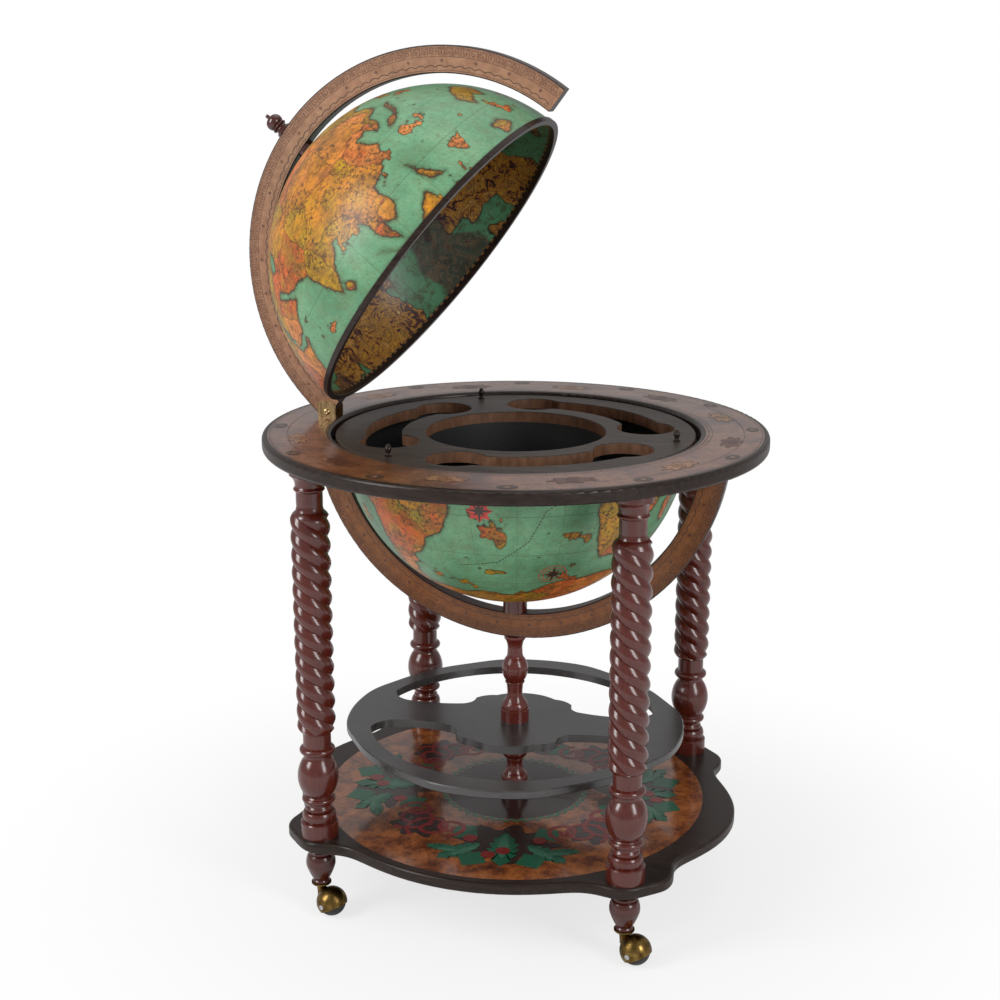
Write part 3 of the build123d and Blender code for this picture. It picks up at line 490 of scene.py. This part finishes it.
land_colour = ramp(tree, region_mix, (0.10, (0.340, 0.225, 0.008)), (0.30, (0.520, 0.285, 0.008)),
                   (0.46, (0.660, 0.240, 0.014)), (0.60, (0.780, 0.250, 0.045)),
                   (0.76, (0.640, 0.115, 0.020)), (0.92, (0.340, 0.265, 0.015)))
weather = noise(tree, shaken(tree, at, 30, 0.010), 42, 7, 0.72)
weather = span(tree, weather, 0.43, 0.66, 0.0, 0.80)
land_colour = tint(tree, weather, land_colour, (0.150, 0.055, 0.010))
hills = noise(tree, at, 190, 7, 0.78)
hill_country = span(tree, noise(tree, at, 24, 3), 0.36, 0.56, 0.15, 1.0)
hill_marks = span(tree, hills, 0.50, 0.57, 0.0, 0.92)
hill_marks = work(tree, "MULTIPLY", hill_marks, hill_country)
land_colour = tint(tree, hill_marks, land_colour, (0.050, 0.020, 0.006))
border = cell_pattern(tree, cells, CELLS_PER_METRE, "DISTANCE_TO_EDGE")
border_line = span(tree, border["Distance"], 0.006, 0.014, 0.6, 0.0)
land_colour = tint(tree, border_line, land_colour, (0.070, 0.022, 0.008))
inland = span(tree, shore, 0.0, 0.0045, 0.75, 0.0)
land_colour = tint(tree, inland, land_colour, (0.170, 0.050, 0.008))
colour = tint(tree, land, sea_colour, land_colour)
coast_line = span(tree, work(tree, "ABSOLUTE", shore), 0.0006, 0.0015, 0.95, 0.0)
colour = tint(tree, coast_line, colour, (0.045, 0.026, 0.012))
net, _ = map_lines(tree, 6, 6, 0.60)
colour = tint(tree, net, colour, (0.045, 0.060, 0.028))
age = span(tree, noise(tree, at, 60, 6, 0.7), 0.45, 0.72, 0.0, 0.35)
colour = tint(tree, age, colour, (0.150, 0.115, 0.035))
colour_by(tree, shader, colour)
relief(tree, shader, noise(tree, at, 90, 3), 0.0004, 0.12)

black_inside, tree, shader = finish("black_inside", 0.6)
at = here(tree)
colour_by(tree, shader, ramp(tree, noise(tree, at, 300, 4), (0.3, (0.006, 0.006, 0.006)),
                             (0.7, (0.016, 0.015, 0.015))))
dress(black_inside, "well_liner", "bowl_floor")

sky_map, tree, shader = finish("sky_map", 0.42, Specular_IOR_Level=0.30, Coat_Weight=0.2,
                               Coat_Roughness=0.25)
at = here(tree)
LEAF_LEVEL = 0.45
field = shaken(tree, at, 13, 0.045)
shape = noise(tree, field, 8.0, 2.5, 0.55)
leaf = work(tree, "GREATER_THAN", shape, LEAF_LEVEL)
strokes = noise(tree, shaken(tree, at, 17, 0.10), 34, 6, 0.66, 1.4)
leaf_colour = ramp(tree, strokes, (0.36, (0.010, 0.005, 0.006)), (0.43, (0.050, 0.012, 0.012)),
                   (0.48, (0.220, 0.075, 0.016)), (0.52, (0.520, 0.260, 0.025)),
                   (0.56, (0.060, 0.026, 0.010)), (0.62, (0.420, 0.210, 0.050)))
ferns = noise(tree, shaken(tree, at, 22, 0.04), 75, 6, 0.7, 0.8)
ferns = span(tree, ferns, 0.48, 0.60, 0.0, 0.75)
green = ramp(tree, noise(tree, at, 18, 4), (0.3, (0.045, 0.175, 0.085)), (0.7, (0.095, 0.270, 0.140)))
green = tint(tree, ferns, green, (0.055, 0.060, 0.014))
colour = tint(tree, leaf, green, leaf_colour)
folds = noise(tree, shaken(tree, at, 11, 0.06), 6.0, 2.0, 0.5)
dusk = span(tree, folds, 0.52, 0.55, 0.0, 0.80)
dusk_colour = ramp(tree, strokes, (0.36, (0.012, 0.006, 0.009)), (0.50, (0.050, 0.018, 0.020)),
                   (0.60, (0.120, 0.050, 0.030)))
colour = tint(tree, dusk, colour, dusk_colour)
from_leaf = work(tree, "ABSOLUTE", work(tree, "SUBTRACT", shape, LEAF_LEVEL))
leaf_edge = span(tree, from_leaf, 0.004, 0.012, 0.85, 0.0)
colour = tint(tree, leaf_edge, colour, (0.020, 0.016, 0.010))
stars = span(tree, cell_pattern(tree, at, 24.0)["Distance"], 0.05, 0.08, 0.8, 0.0)
colour = tint(tree, stars, colour, (0.55, 0.42, 0.16))
net, sheet = map_lines(tree, 3, 3, 0.5)
colour = tint(tree, net, colour, (0.020, 0.045, 0.025))
RIM_BLOCKS = 120
blocks = work(tree, "FRACT", work(tree, "MULTIPLY", sheet[0], RIM_BLOCKS))
blocks = work(tree, "GREATER_THAN", blocks, 0.5)
edge_band = work(tree, "LESS_THAN", sheet[1], 0.030)
band_colour = tint(tree, blocks, (0.014, 0.010, 0.008), (0.190, 0.085, 0.024))
colour = tint(tree, edge_band, colour, band_colour)
colour_by(tree, shader, colour)

bowl = half_globe("bowl_map_shell", BOWL_RIM_Z, -1, BOWL_TURN, BOWL_ROWS, COLUMNS,
                  lambda points: points)
bowl.data.materials.append(world_map)
bowl.data.materials.append(black_inside)
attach(bowl, "stand")
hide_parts("bowl_shell")

lid = half_globe("lid_map_shell", LID_RIM_Z, 1, LID_TURN, LID_ROWS, COLUMNS, opened)
lid.data.materials.append(world_map)
lid.data.materials.append(sky_map)
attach(lid, "lid")
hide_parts("lid_shell")

# ---------------------------------------------------------------- printed lines
# Fine ornament of the prints is laid on as flat strips and fills, 0.08 mm higher for each layer. A
# stroke is a line of points on a sheet, and each sheet is bent to its piece. Strokes that cross lie
# a few microns over one another, so that no two faces share a place.

LIFT = 0.00008
STACK = 0.000003
STACK_STEPS = 16


def strip_mesh(strokes, width):
    """Flat strips along the strokes: each point gives two, half a width to either side along the
    mitred normal of the stroke. Returns sheet points and the quads between them."""
    points, quads, start = [], [], 0
    for stroke in strokes:
        stroke = np.asarray(stroke, float)
        ahead = np.diff(stroke, axis=0)
        ahead /= np.linalg.norm(ahead, axis=1)[:, None] + 1e-12
        closed = np.allclose(stroke[0], stroke[-1])
        before = np.vstack([ahead[-1:] if closed else ahead[:1], ahead])
        after = np.vstack([ahead, ahead[:1] if closed else ahead[-1:]])
        normal = np.stack([-(before + after)[:, 1], (before + after)[:, 0]], 1)
        normal /= np.linalg.norm(normal, axis=1)[:, None] + 1e-12
        mitre = np.clip((normal * np.stack([-after[:, 1], after[:, 0]], 1)).sum(1), 0.5, 1)
        half = width / 2 * normal / mitre[:, None]
        over = STACK * (len(points) % STACK_STEPS + np.linspace(0, 1, len(stroke)))
        sides = np.stack([stroke - half, stroke + half], 1).reshape(-1, 2)
        points.append(np.column_stack([sides, np.repeat(over, 2)]))
        i = 2 * np.arange(len(stroke) - 1) + start
        quads.append(np.stack([i, i + 2, i + 3, i + 1], 1))
        start += 2 * len(stroke)
    return np.vstack(points), np.vstack(quads).tolist()


def filled_mesh(outlines, fine=1):
    """Each outline filled from its middle out, in fine rings, with its sides cut into fine steps, so
    that it bends with its surface. A ring is the outline shrunk evenly towards its middle."""
    points, faces, start = [], [], 0
    for outline in outlines:
        outline = np.asarray(outline, float)
        share = np.arange(fine)[None, :, None] / fine
        sides = outline[:, None] * (1 - share) + np.roll(outline, -1, 0)[:, None] * share
        sides = sides.reshape(-1, 2)
        middle = outline.mean(0)
        rings = [middle + (sides - middle) * (k + 1) / fine for k in range(fine)]
        flat = np.vstack([*rings, middle])
        points.append(np.column_stack([flat, np.full(len(flat), STACK * (len(points) % STACK_STEPS))]))
        n = len(sides)
        i = np.arange(n)
        j = (i + 1) % n
        faces += (np.stack([i, j, np.full(n, fine * n)], 1) + start).tolist()
        for k in range(1, fine):
            inner, outer = (k - 1) * n + start, k * n + start
            faces += np.stack([inner + i, outer + i, outer + j, inner + j], 1).tolist()
        start += len(flat)
    return np.vstack(points), faces


def print_on(name, flat, bend, its_ink, body, layer=1):
    """Make a printed piece from sheet points and faces, bent to its surface at its layer."""
    points, faces = flat
    mesh = bpy.data.meshes.new(name)
    mesh.from_pydata(bend(points[:, 0], points[:, 1], LIFT * layer + points[:, 2]).tolist(), [],
                     faces)
    mesh.materials.append(its_ink)
    piece = bpy.data.objects.new(name, mesh)
    bpy.context.collection.objects.link(piece)
    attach(piece, body)


def ink(name, colour, roughness=0.4):
    """Printing ink, a little uneven."""
    made, tree, shader = finish(name, roughness, Coat_Weight=0.3)
    light = tuple(1.5 * c for c in colour)
    spread = noise(tree, here(tree), 160, 4)
    colour_by(tree, shader, ramp(tree, spread, (0.35, colour), (0.7, light)))
    return made


def ring_of(x, y, r, count=48):
    """Closed circle of points on a sheet."""
    a = np.linspace(0, 2 * np.pi, count + 1)
    return np.stack([x + r * np.cos(a), y + r * np.sin(a)], 1)


def star_of(x, y, outer, inner, points, start=0.0):
    """Star outline: the radius steps between outer and inner at every half point."""
    a = np.arange(2 * points) * np.pi / points + start
    r = np.where(np.arange(2 * points) % 2 == 0, outer, inner)
    return np.stack([x + r * np.cos(a), y + r * np.sin(a)], 1)


def on_bowl(u, v, w):
    """Sheet of longitude and latitude distances in metres, laid on the outside of the bowl."""
    lat = np.radians(v / METRES_PER_DEGREE)
    lon = np.radians(u / METRES_PER_DEGREE / np.cos(lat) - BOWL_TURN)
    r = GLOBE_R + w
    return np.stack([r * np.cos(lat) * np.cos(lon), r * np.cos(lat) * np.sin(lon),
                     GLOBE_Z + r * np.sin(lat)], -1)


def bowl_sheet(lon, lat, places):
    """Points given about a centre at a longitude and latitude, in metres, on the bowl's sheet."""
    places = np.asarray(places, float)
    y = lat * METRES_PER_DEGREE + places[:, 1]
    x = lon * METRES_PER_DEGREE * np.cos(np.radians(y / METRES_PER_DEGREE)) + places[:, 0]
    return np.stack([x, y], 1)


rose_ink = ink("rose_ink", (0.45, 0.030, 0.018))
dark_ink = ink("dark_ink", (0.030, 0.018, 0.010))
ROSES = ((-27.0, -13.0), (0.0, -40.0))
fills = [bowl_sheet(*ROSES[0], star_of(0, 0, 0.0190, 0.0120, 8))]
print_on("red_rose_disc", filled_mesh(fills, 6), on_bowl, rose_ink, "stand")
stars = [bowl_sheet(*rose, star_of(0, 0, r, 0.0036, 4, start))
         for rose in ROSES for r, start in ((0.0195, np.pi / 2), (0.0120, np.pi / 4))]
print_on("rose_stars", filled_mesh(stars, 6), on_bowl, dark_ink, "stand", 3)
rings = [bowl_sheet(*ROSES[1], ring_of(0, 0, r)) for r in (0.0075, 0.0140, 0.0195)]
print_on("rose_rings", strip_mesh(rings, 0.0011), on_bowl, rose_ink, "stand", 2)
ROUTE = ((6.0, -6.0), (-6.0, -13.0), (-11.0, -24.0), (-22.0, -33.0), (-38.0, -36.0))
route = np.array([bowl_sheet(lon, lat, [(0, 0)])[0] for lon, lat in ROUTE])
way = np.concatenate([[0], np.cumsum(np.linalg.norm(np.diff(route, axis=0), axis=1))])
starts = np.arange(0, way[-1] - 0.003, 0.0050)
dashes = [np.stack([np.interp([s, s + 0.0028], way, route[:, k]) for k in (0, 1)], 1) for s in starts]
print_on("sea_route", strip_mesh(dashes, 0.0014), on_bowl, dark_ink, "stand", 4)

# ---------------------------------------------------------------- meridian arcs
# Half rings of board with a varnished paper band on both faces: key pattern outside, a scale of
# degrees and a scalloped line inside, dark edges.

ARC_HALF = 0.0125
LOWER_ARC = (0.277, 0.315)
LID_ARC = (0.264, 0.302)


def arc_band(name, middle, colours):
    """Paper band and dark edge, told apart by the distance from the Y line through the middle."""
    made, tree, shader = finish(name, 0.42, Specular_IOR_Level=0.30, Coat_Weight=0.2, Coat_Roughness=0.2)
    at = here(tree)
    x, across, z = axes_of(tree, at)
    x = work(tree, "SUBTRACT", x, middle[0])
    z = work(tree, "SUBTRACT", z, middle[1])
    squares = work(tree, "ADD", work(tree, "MULTIPLY", x, x), work(tree, "MULTIPLY", z, z))
    radius = work(tree, "SQRT", squares)
    inner, outer, dark, light, line = colours
    paper = ramp(tree, noise(tree, at, 70, 6, 0.65), (0.30, dark), (0.70, light))
    lace = span(tree, noise(tree, at, 420, 3, 0.6), 0.46, 0.60, 0.0, 0.60)
    in_lace = work(tree, "GREATER_THAN", radius, outer - 0.0155)
    paper = tint(tree, work(tree, "MULTIPLY", lace, in_lace), paper, line)
    side = work(tree, "LESS_THAN", work(tree, "ABSOLUTE", across), ARC_HALF - 0.0006)
    rim = work(tree, "GREATER_THAN", radius, outer - 0.0022)
    rim = work(tree, "MAXIMUM", rim, work(tree, "LESS_THAN", radius, inner + 0.0016))
    edge = work(tree, "MAXIMUM", side, rim)
    colour_by(tree, shader, tint(tree, edge, paper, (0.040, 0.024, 0.022)))
    return made


def arc_sheet(centre_z, radii, side, place):
    """Sheet bent onto one face of an arc: u runs along the middle radius from +X, v outwards."""
    middle = (radii[0] + radii[1]) / 2

    def bend(u, v, w):
        a = u / middle
        r = middle + v
        return place(np.stack([r * np.cos(a), side * (ARC_HALF + w), centre_z + r * np.sin(a)], -1))
    return bend


def key_band(length, v0, v1, cell):
    """Key pattern: one hooked stroke in each cell."""
    hook = np.array([(0.0, 0.0), (0.0, 1.0), (0.80, 1.0), (0.80, 0.28), (0.38, 0.28), (0.38, 0.64),
                     (0.60, 0.64)])
    count = int(abs(length[1] - length[0]) / cell)
    start = length[0] + cell * np.arange(count)
    lift = v0 + 0.0010 + hook[:, 1] * (v1 - v0 - 0.0020)
    return [np.stack([s + 0.1 * cell + hook[:, 0] * cell * 0.9, lift], 1) for s in start]


def along(length, v, wave=0.0, pitch=0.012, count=420):
    """Line along the arc, scalloped by wave times the size of a half sine of the given pitch."""
    u = np.linspace(*length, count)
    return np.stack([u, v + wave * np.abs(np.sin(np.pi * (u - length[0]) / pitch))], 1)


def scale_marks(length, v, step_length, short, long, every):
    """Marks of a scale, each one short except every so many."""
    u = np.arange(length[0] + step_length, length[1], step_length)
    tall = np.where(np.arange(len(u)) % every == 0, long, short)
    return [np.array([(s, v), (s, v + h)]) for s, h in zip(u, tall)]


def print_arc(name, radii, angles, centre_z, place, body, line_ink, faint_ink):
    """Ornament on both faces of an arc between two angles, measured from +X."""
    middle = (radii[0] + radii[1]) / 2
    half = (radii[1] - radii[0]) / 2
    length = (radians(angles[0]) * middle, radians(angles[1]) * middle)
    fine = [along(length, -half + 0.0036), along(length, half - 0.0038), along(length, half - 0.0158)]
    fine += scale_marks(length, -half + 0.0036, radians(1) * middle, 0.0016, 0.0034, 5)
    scallop = [along(length, -half + 0.0078, 0.0026, 0.0150, 1400)]
    keys = key_band(length, half - 0.0152, half - 0.0044, 0.0118)
    beads = np.arange(length[0] + 0.02, length[1] - 0.01, 0.0500)
    lozenges = [star_of(u, half - 0.0210, 0.0030, 0.0016, 4) for u in beads]
    for side, word in ((-1, "front"), (1, "back")):
        bend = arc_sheet(centre_z, radii, side, place)
        layers = (("_lines_", strip_mesh(fine, 0.0005), line_ink),
                  ("_scallop_", strip_mesh(scallop, 0.0010), line_ink),
                  ("_keys_", strip_mesh(keys, 0.0007), faint_ink),
                  ("_lozenges_", filled_mesh(lozenges), faint_ink))
        for layer, (part, flat, its_ink) in enumerate(layers, 1):
            print_on(name + part + word, flat, bend, its_ink, body, layer)


arc_line = ink("arc_line", (0.040, 0.017, 0.010))
lower_key = ink("lower_key", (0.062, 0.022, 0.010))
lid_key = ink("lid_key", (0.120, 0.052, 0.030))
lid_centre = opened(np.array([[0, 0, GLOBE_Z]]))[0]
dress(arc_band("lower_arc_paper", (0.0, GLOBE_Z),
               (*LOWER_ARC, (0.150, 0.048, 0.014), (0.265, 0.098, 0.030), (0.070, 0.022, 0.008))),
      "lower_meridian")
dress(arc_band("lid_arc_paper", (lid_centre[0], lid_centre[2]),
               (*LID_ARC, (0.250, 0.120, 0.068), (0.420, 0.225, 0.130), (0.150, 0.068, 0.038))),
      "lid_meridian")
print_arc("lower_arc", LOWER_ARC, (184, 356), GLOBE_Z, lambda points: points, "stand", arc_line,
          lower_key)
print_arc("lid_arc", LID_ARC, (2, 174), GLOBE_Z, opened, "lid", arc_line, lid_key)
dress(dark_mahogany, "pole_spacer", "foot_spacer", "finial")

# ---------------------------------------------------------------- divider
# Flat insert of dark open-grained board. The sawn walls of its pockets are a lighter brown.

divider, tree, shader = finish("divider_board", 0.45, Specular_IOR_Level=0.30)
at = here(tree)
grain = noise(tree, squeeze(tree, at, 0.05, 1, 1), 330, 5, 0.65, 0.6)
top = ramp(tree, grain, (0.32, (0.012, 0.008, 0.006)), (0.5, (0.038, 0.026, 0.020)),
           (0.72, (0.085, 0.062, 0.048)))
sawn = ramp(tree, noise(tree, squeeze(tree, at, 1, 1, 0.3), 120, 4), (0.3, (0.095, 0.042, 0.022)),
            (0.7, (0.180, 0.088, 0.048)))
facing = axes_of(tree, tree.nodes.new("ShaderNodeTexCoord").outputs["Normal"])
upward = work(tree, "GREATER_THAN", facing[2], 0.4)
colour_by(tree, shader, tint(tree, upward, sawn, top))
relief(tree, shader, grain, 0.0004, 0.3)
dress(divider, "divider_plate")

# ---------------------------------------------------------------- horizon print
# Brown parchment print let into the ring: blotched leather browns, a scale at the inner edge, two
# circles, an oval seal for each twelfth of the year, and ruffled fields between the seals.

RING_TOP = 0.694
PRINT_R = (0.2745, 0.357)

parchment, tree, shader = finish("ring_parchment", 0.30, Coat_Weight=0.6, Coat_Roughness=0.15)
at = here(tree)
cloud = noise(tree, shaken(tree, at, 10, 0.03), 13, 5, 0.6)
brown = ramp(tree, cloud, (0.32, (0.036, 0.008, 0.004)), (0.44, (0.125, 0.030, 0.011)),
             (0.54, (0.230, 0.080, 0.031)), (0.64, (0.150, 0.048, 0.018)), (0.78, (0.290, 0.125, 0.055)))
levels = work(tree, "FRACT", work(tree, "MULTIPLY", cloud, 14.0))
from_level = work(tree, "ABSOLUTE", work(tree, "SUBTRACT", levels, 0.5))
contour = span(tree, from_level, 0.43, 0.48, 0.0, 0.75)
brown = tint(tree, contour, brown, (0.045, 0.014, 0.006))
fleck = span(tree, noise(tree, at, 240, 6, 0.75), 0.50, 0.62, 0.0, 0.80)
brown = tint(tree, fleck, brown, (0.045, 0.014, 0.007))
colour_by(tree, shader, brown)
dress(parchment, "horizon_print")


def on_ring(u, v, w):
    """Sheet of the ring's top: plain x and y."""
    return np.stack([u, v, RING_TOP + w], -1)


def around(r, az, places):
    """Points given about a centre at a radius and azimuth, turned to face outwards."""
    places = np.asarray(places, float)
    a = radians(az)
    x = r + places[:, 0]
    y = places[:, 1]
    return np.stack([x * np.cos(a) - y * np.sin(a), x * np.sin(a) + y * np.cos(a)], 1)


def ruffled(x, y, r, lobes):
    """Closed outline whose radius swells and shrinks by a fifth, once for each lobe."""
    a = np.linspace(0, 2 * np.pi, 12 * lobes, endpoint=False)
    swell = r * (1 + 0.2 * np.sin(lobes * a))
    return np.stack([x + swell * np.cos(a), y + swell * np.sin(a)], 1)


SCALE_R = PRINT_R[0] + 0.003
SEAL_R = 0.342
FIELD_R = 0.314
seal_ink = ink("seal_ink", (0.030, 0.014, 0.010))
pale_ink = ink("pale_ink", (0.180, 0.090, 0.045))
field_inks = (ink("umber_field", (0.075, 0.020, 0.009)), ink("tan_field", (0.230, 0.105, 0.046)))
circle_radii = (SCALE_R, SCALE_R + 0.006, PRINT_R[1] - 0.028, PRINT_R[1] - 0.003)
circles = [ring_of(0, 0, r, 240) for r in circle_radii]
marks = [around(SCALE_R, az, [(0, 0), (0.006 if az % 5 == 0 else 0.003, 0)])
         for az in range(0, 360) if abs(az - 180) > 4]
print_on("ring_scale", strip_mesh(circles + marks, 0.0006), on_ring, dark_ink, "stand", 5)
seal_azimuths = range(15, 375, 30)
seals = [around(SEAL_R, az, ring_of(0, 0, 0.0095, 32)[:-1] * (1.0, 1.45)) for az in seal_azimuths]
print_on("ring_seals", filled_mesh(seals), on_ring, seal_ink, "stand", 2)
hearts = [around(SEAL_R, az, star_of(0, 0, 0.0064, 0.0024, 8)) for az in seal_azimuths]
print_on("ring_seal_stars", filled_mesh(hearts), on_ring, pale_ink, "stand", 3)
for first, (field_ink, name) in enumerate(zip(field_inks, ("umber", "tan"))):
    azimuths = [az for az in range(30 * first, 360, 60) if abs(az - 180) > 20]
    fields = [around(FIELD_R, az, ruffled(0, 0, 0.0130, 7) * (1.0, 2.2)) for az in azimuths]
    print_on("ring_fields_" + name, filled_mesh(fields), on_ring, field_ink, "stand")
    frames = [np.vstack([field, field[:1]]) for field in fields]
    frames += [around(FIELD_R, az, ring_of(0, 0, r, 40)) for az in azimuths for r in (0.0045, 0.0085)]
    print_on("ring_frames_" + name, strip_mesh(frames, 0.0008), on_ring, seal_ink, "stand", 4)

# ---------------------------------------------------------------- base print
# Printed disc let into the base: burr-brown marbling, a dark middle inside a green wreath, and
# four sprays of green leaves on dark fields, with red berries, scrolls and green tiles.

BASE_TOP = 0.124

marble, tree, shader = finish("base_marbling", 0.20, Coat_Weight=0.7, Coat_Roughness=0.08)
at = here(tree)
burr = noise(tree, shaken(tree, at, 22, 0.02), 34, 7, 0.7)
brown = ramp(tree, burr, (0.30, (0.030, 0.007, 0.003)), (0.44, (0.130, 0.032, 0.008)),
             (0.56, (0.260, 0.078, 0.018)), (0.72, (0.370, 0.130, 0.034)))
fleck = span(tree, noise(tree, at, 300, 6, 0.75), 0.55, 0.66, 0.0, 0.7)
brown = tint(tree, fleck, brown, (0.060, 0.020, 0.008))
colour_by(tree, shader, brown)
dress(marble, "base_print")


def on_base(u, v, w):
    """Sheet of the base's top: plain x and y."""
    return np.stack([u, v, BASE_TOP + w], -1)


def leaf_outline(length, width, lobes):
    """Acanthus leaf along +X: half widths w sin(pi s) with a saw of lobes cut into them."""
    s = np.linspace(0, 1, 6 * lobes + 1)
    saw = 1 - 0.42 * ((s * lobes) % 1.0)
    w = width * np.sin(np.pi * s) ** 0.7 * saw
    return np.concatenate([np.stack([length * s, w], 1), np.stack([length * s, -w], 1)[::-1]])


def turned_by(points, degrees, x, y):
    """Turn a sheet's points and move them."""
    a = radians(degrees)
    points = np.asarray(points, float)
    return np.stack([points[:, 0] * np.cos(a) - points[:, 1] * np.sin(a) + x,
                     points[:, 0] * np.sin(a) + points[:, 1] * np.cos(a) + y], 1)


def scroll(radius, turns, hand):
    """Spiral scroll: the radius shrinks evenly with the angle."""
    t = np.linspace(0, 1, 40)
    r = radius * (1 - 0.8 * t)
    a = hand * 2 * np.pi * turns * t
    return np.stack([r * np.cos(a) - radius, r * np.sin(a)], 1)


green_ink = ink("green_ink", (0.006, 0.062, 0.032), 0.3)
sage_ink = ink("sage_ink", (0.028, 0.100, 0.062), 0.3)
berry_ink = ink("berry_ink", (0.130, 0.009, 0.008), 0.3)
shade_ink = ink("shade_ink", (0.022, 0.012, 0.010), 0.25)
SPRAY_TURN = 12.0
MEDALLION_R, WREATH_R = 0.103, 0.108
TILE_HALF = 0.017
medallion = [ring_of(0, 0, MEDALLION_R, 120)[:-1]]
tile = TILE_HALF * np.array([(-1, -1), (1, -1), (1, 1), (-1, 1)])
leaves, pale_leaves, berries, curls, tiles, shades = [], [], [], [], [], []
for quarter in range(4):
    az = 90 * quarter + SPRAY_TURN
    for x, y, turn, size in ((0.185, -0.034, -50, 0.075), (0.185, 0.034, 50, 0.075), (0.150, 0.0, 0, 0.100),
                             (0.205, -0.062, -100, 0.050), (0.205, 0.062, 100, 0.050)):
        leaves.append(around(0, az, turned_by(leaf_outline(size, 0.24 * size, 6), turn, x, y)))
        pale = leaf_outline(0.7 * size, 0.10 * size, 5)
        pale_leaves.append(around(0, az, turned_by(pale, turn, x + 0.006, y)))
    for x, y, turn in ((0.232, -0.042, 20), (0.232, 0.042, 70), (0.150, -0.060, 10), (0.150, 0.060, 80)):
        tiles.append(around(0, az, turned_by(tile, turn, x, y)))
    for x, y in ((0.205, 0.0), (0.170, -0.050), (0.170, 0.050), (0.218, -0.020)):
        berries.append(around(0, az, ring_of(x, y, 0.0105, 24)[:-1]))
    shades.append(around(0, az, ruffled(0.183, 0.0, 0.052, 9) * (1.0, 1.35)))
    shades.append(around(0, az + 45, ruffled(0.185, 0.0, 0.034, 7) * (1.0, 1.2)))
    for hand in (-1, 1):
        curls.append(around(0, az, turned_by(scroll(0.026, 1.3, hand), 0, 0.165, -hand * 0.085)))
        curls.append(around(0, az + 45, turned_by(scroll(0.036, 1.4, hand), 0, 0.215, -hand * 0.020)))
a = np.linspace(0, 2 * np.pi, 721)
wreath_r = WREATH_R + 0.0028 * np.sin(44 * a)
wreath = [np.stack([wreath_r * np.cos(a), wreath_r * np.sin(a)], 1)]
for name, flat, its_ink, layer in (("shades", filled_mesh(shades), shade_ink, 1),
                                   ("tiles", filled_mesh(tiles), green_ink, 2),
                                   ("curls", strip_mesh(curls, 0.0070), berry_ink, 3),
                                   ("leaves", filled_mesh(leaves), green_ink, 4),
                                   ("leaf_lights", filled_mesh(pale_leaves), sage_ink, 5),
                                   ("berries", filled_mesh(berries), berry_ink, 6),
                                   ("medallion", filled_mesh(medallion), shade_ink, 1),
                                   ("wreath", strip_mesh(wreath, 0.0050), sage_ink, 2)):
    print_on("base_" + name, flat, on_base, its_ink, "stand", layer)

# ---------------------------------------------------------------- hinge and casters
# Old brass for the hoods and sockets of the casters, and a brighter one for the clevis, its pin and
# its screws. The ball wheels are black moulded plastic on bright steel axles. The other screws,
# bolts and rods are steel too, and the hidden dowels plain beech.

old_brass, tree, shader = finish("old_brass", 0.30, Metallic=1.0)
at = here(tree)
patina = noise(tree, at, 85, 5, 0.65)
brass = ramp(tree, patina, (0.32, (0.050, 0.030, 0.009)), (0.50, (0.165, 0.100, 0.028)),
             (0.70, (0.300, 0.195, 0.062)))
colour_by(tree, shader, brass)
tree.links.new(span(tree, patina, 0.3, 0.7, 0.42, 0.20), shader.inputs["Roughness"])
dress(old_brass, *("caster_hood_" + c for c in corners), *("caster_socket_" + c for c in corners))

hinge_brass, tree, shader = finish("hinge_brass", 0.30, Metallic=1.0)
at = here(tree)
polish = noise(tree, squeeze(tree, at, 1, 1, 0.1), 300, 4)
colour_by(tree, shader, ramp(tree, polish, (0.3, (0.42, 0.29, 0.13)), (0.7, (0.66, 0.49, 0.26))))
tree.links.new(work(tree, "MULTIPLY_ADD", polish, 0.2, 0.18), shader.inputs["Roughness"])
dress(hinge_brass, "hinge_bracket", "hinge_pin", "hinge_screws")

black_ball, tree, shader = finish("black_ball", 0.32)
at = here(tree)
scuff = noise(tree, at, 420, 4)
colour_by(tree, shader, ramp(tree, scuff, (0.35, (0.006, 0.006, 0.006)), (0.75, (0.020, 0.019, 0.018))))
tree.links.new(work(tree, "MULTIPLY_ADD", scuff, 0.3, 0.18), shader.inputs["Roughness"])
dress(black_ball, *("caster_ball_" + c for c in corners))

steel, tree, shader = finish("bright_steel", 0.22, Metallic=1.0)
wear = noise(tree, here(tree), 500, 3)
colour_by(tree, shader, ramp(tree, wear, (0.3, (0.45, 0.45, 0.46)), (0.7, (0.68, 0.68, 0.68))))
dress(steel, *("caster_axle_" + c for c in corners), "leg_studs", "centre_rod", "rod_nuts",
      "bowl_rim_screws", "finial_bolt")

plain_beech, tree, shader = finish("plain_beech", 0.6)
fibre = noise(tree, squeeze(tree, here(tree), 1, 1, 0.1), 400, 4)
colour_by(tree, shader, ramp(tree, fibre, (0.3, (0.40, 0.24, 0.12)), (0.7, (0.58, 0.40, 0.23))))
dress(plain_beech, "leg_dowels", "arc_dowels")
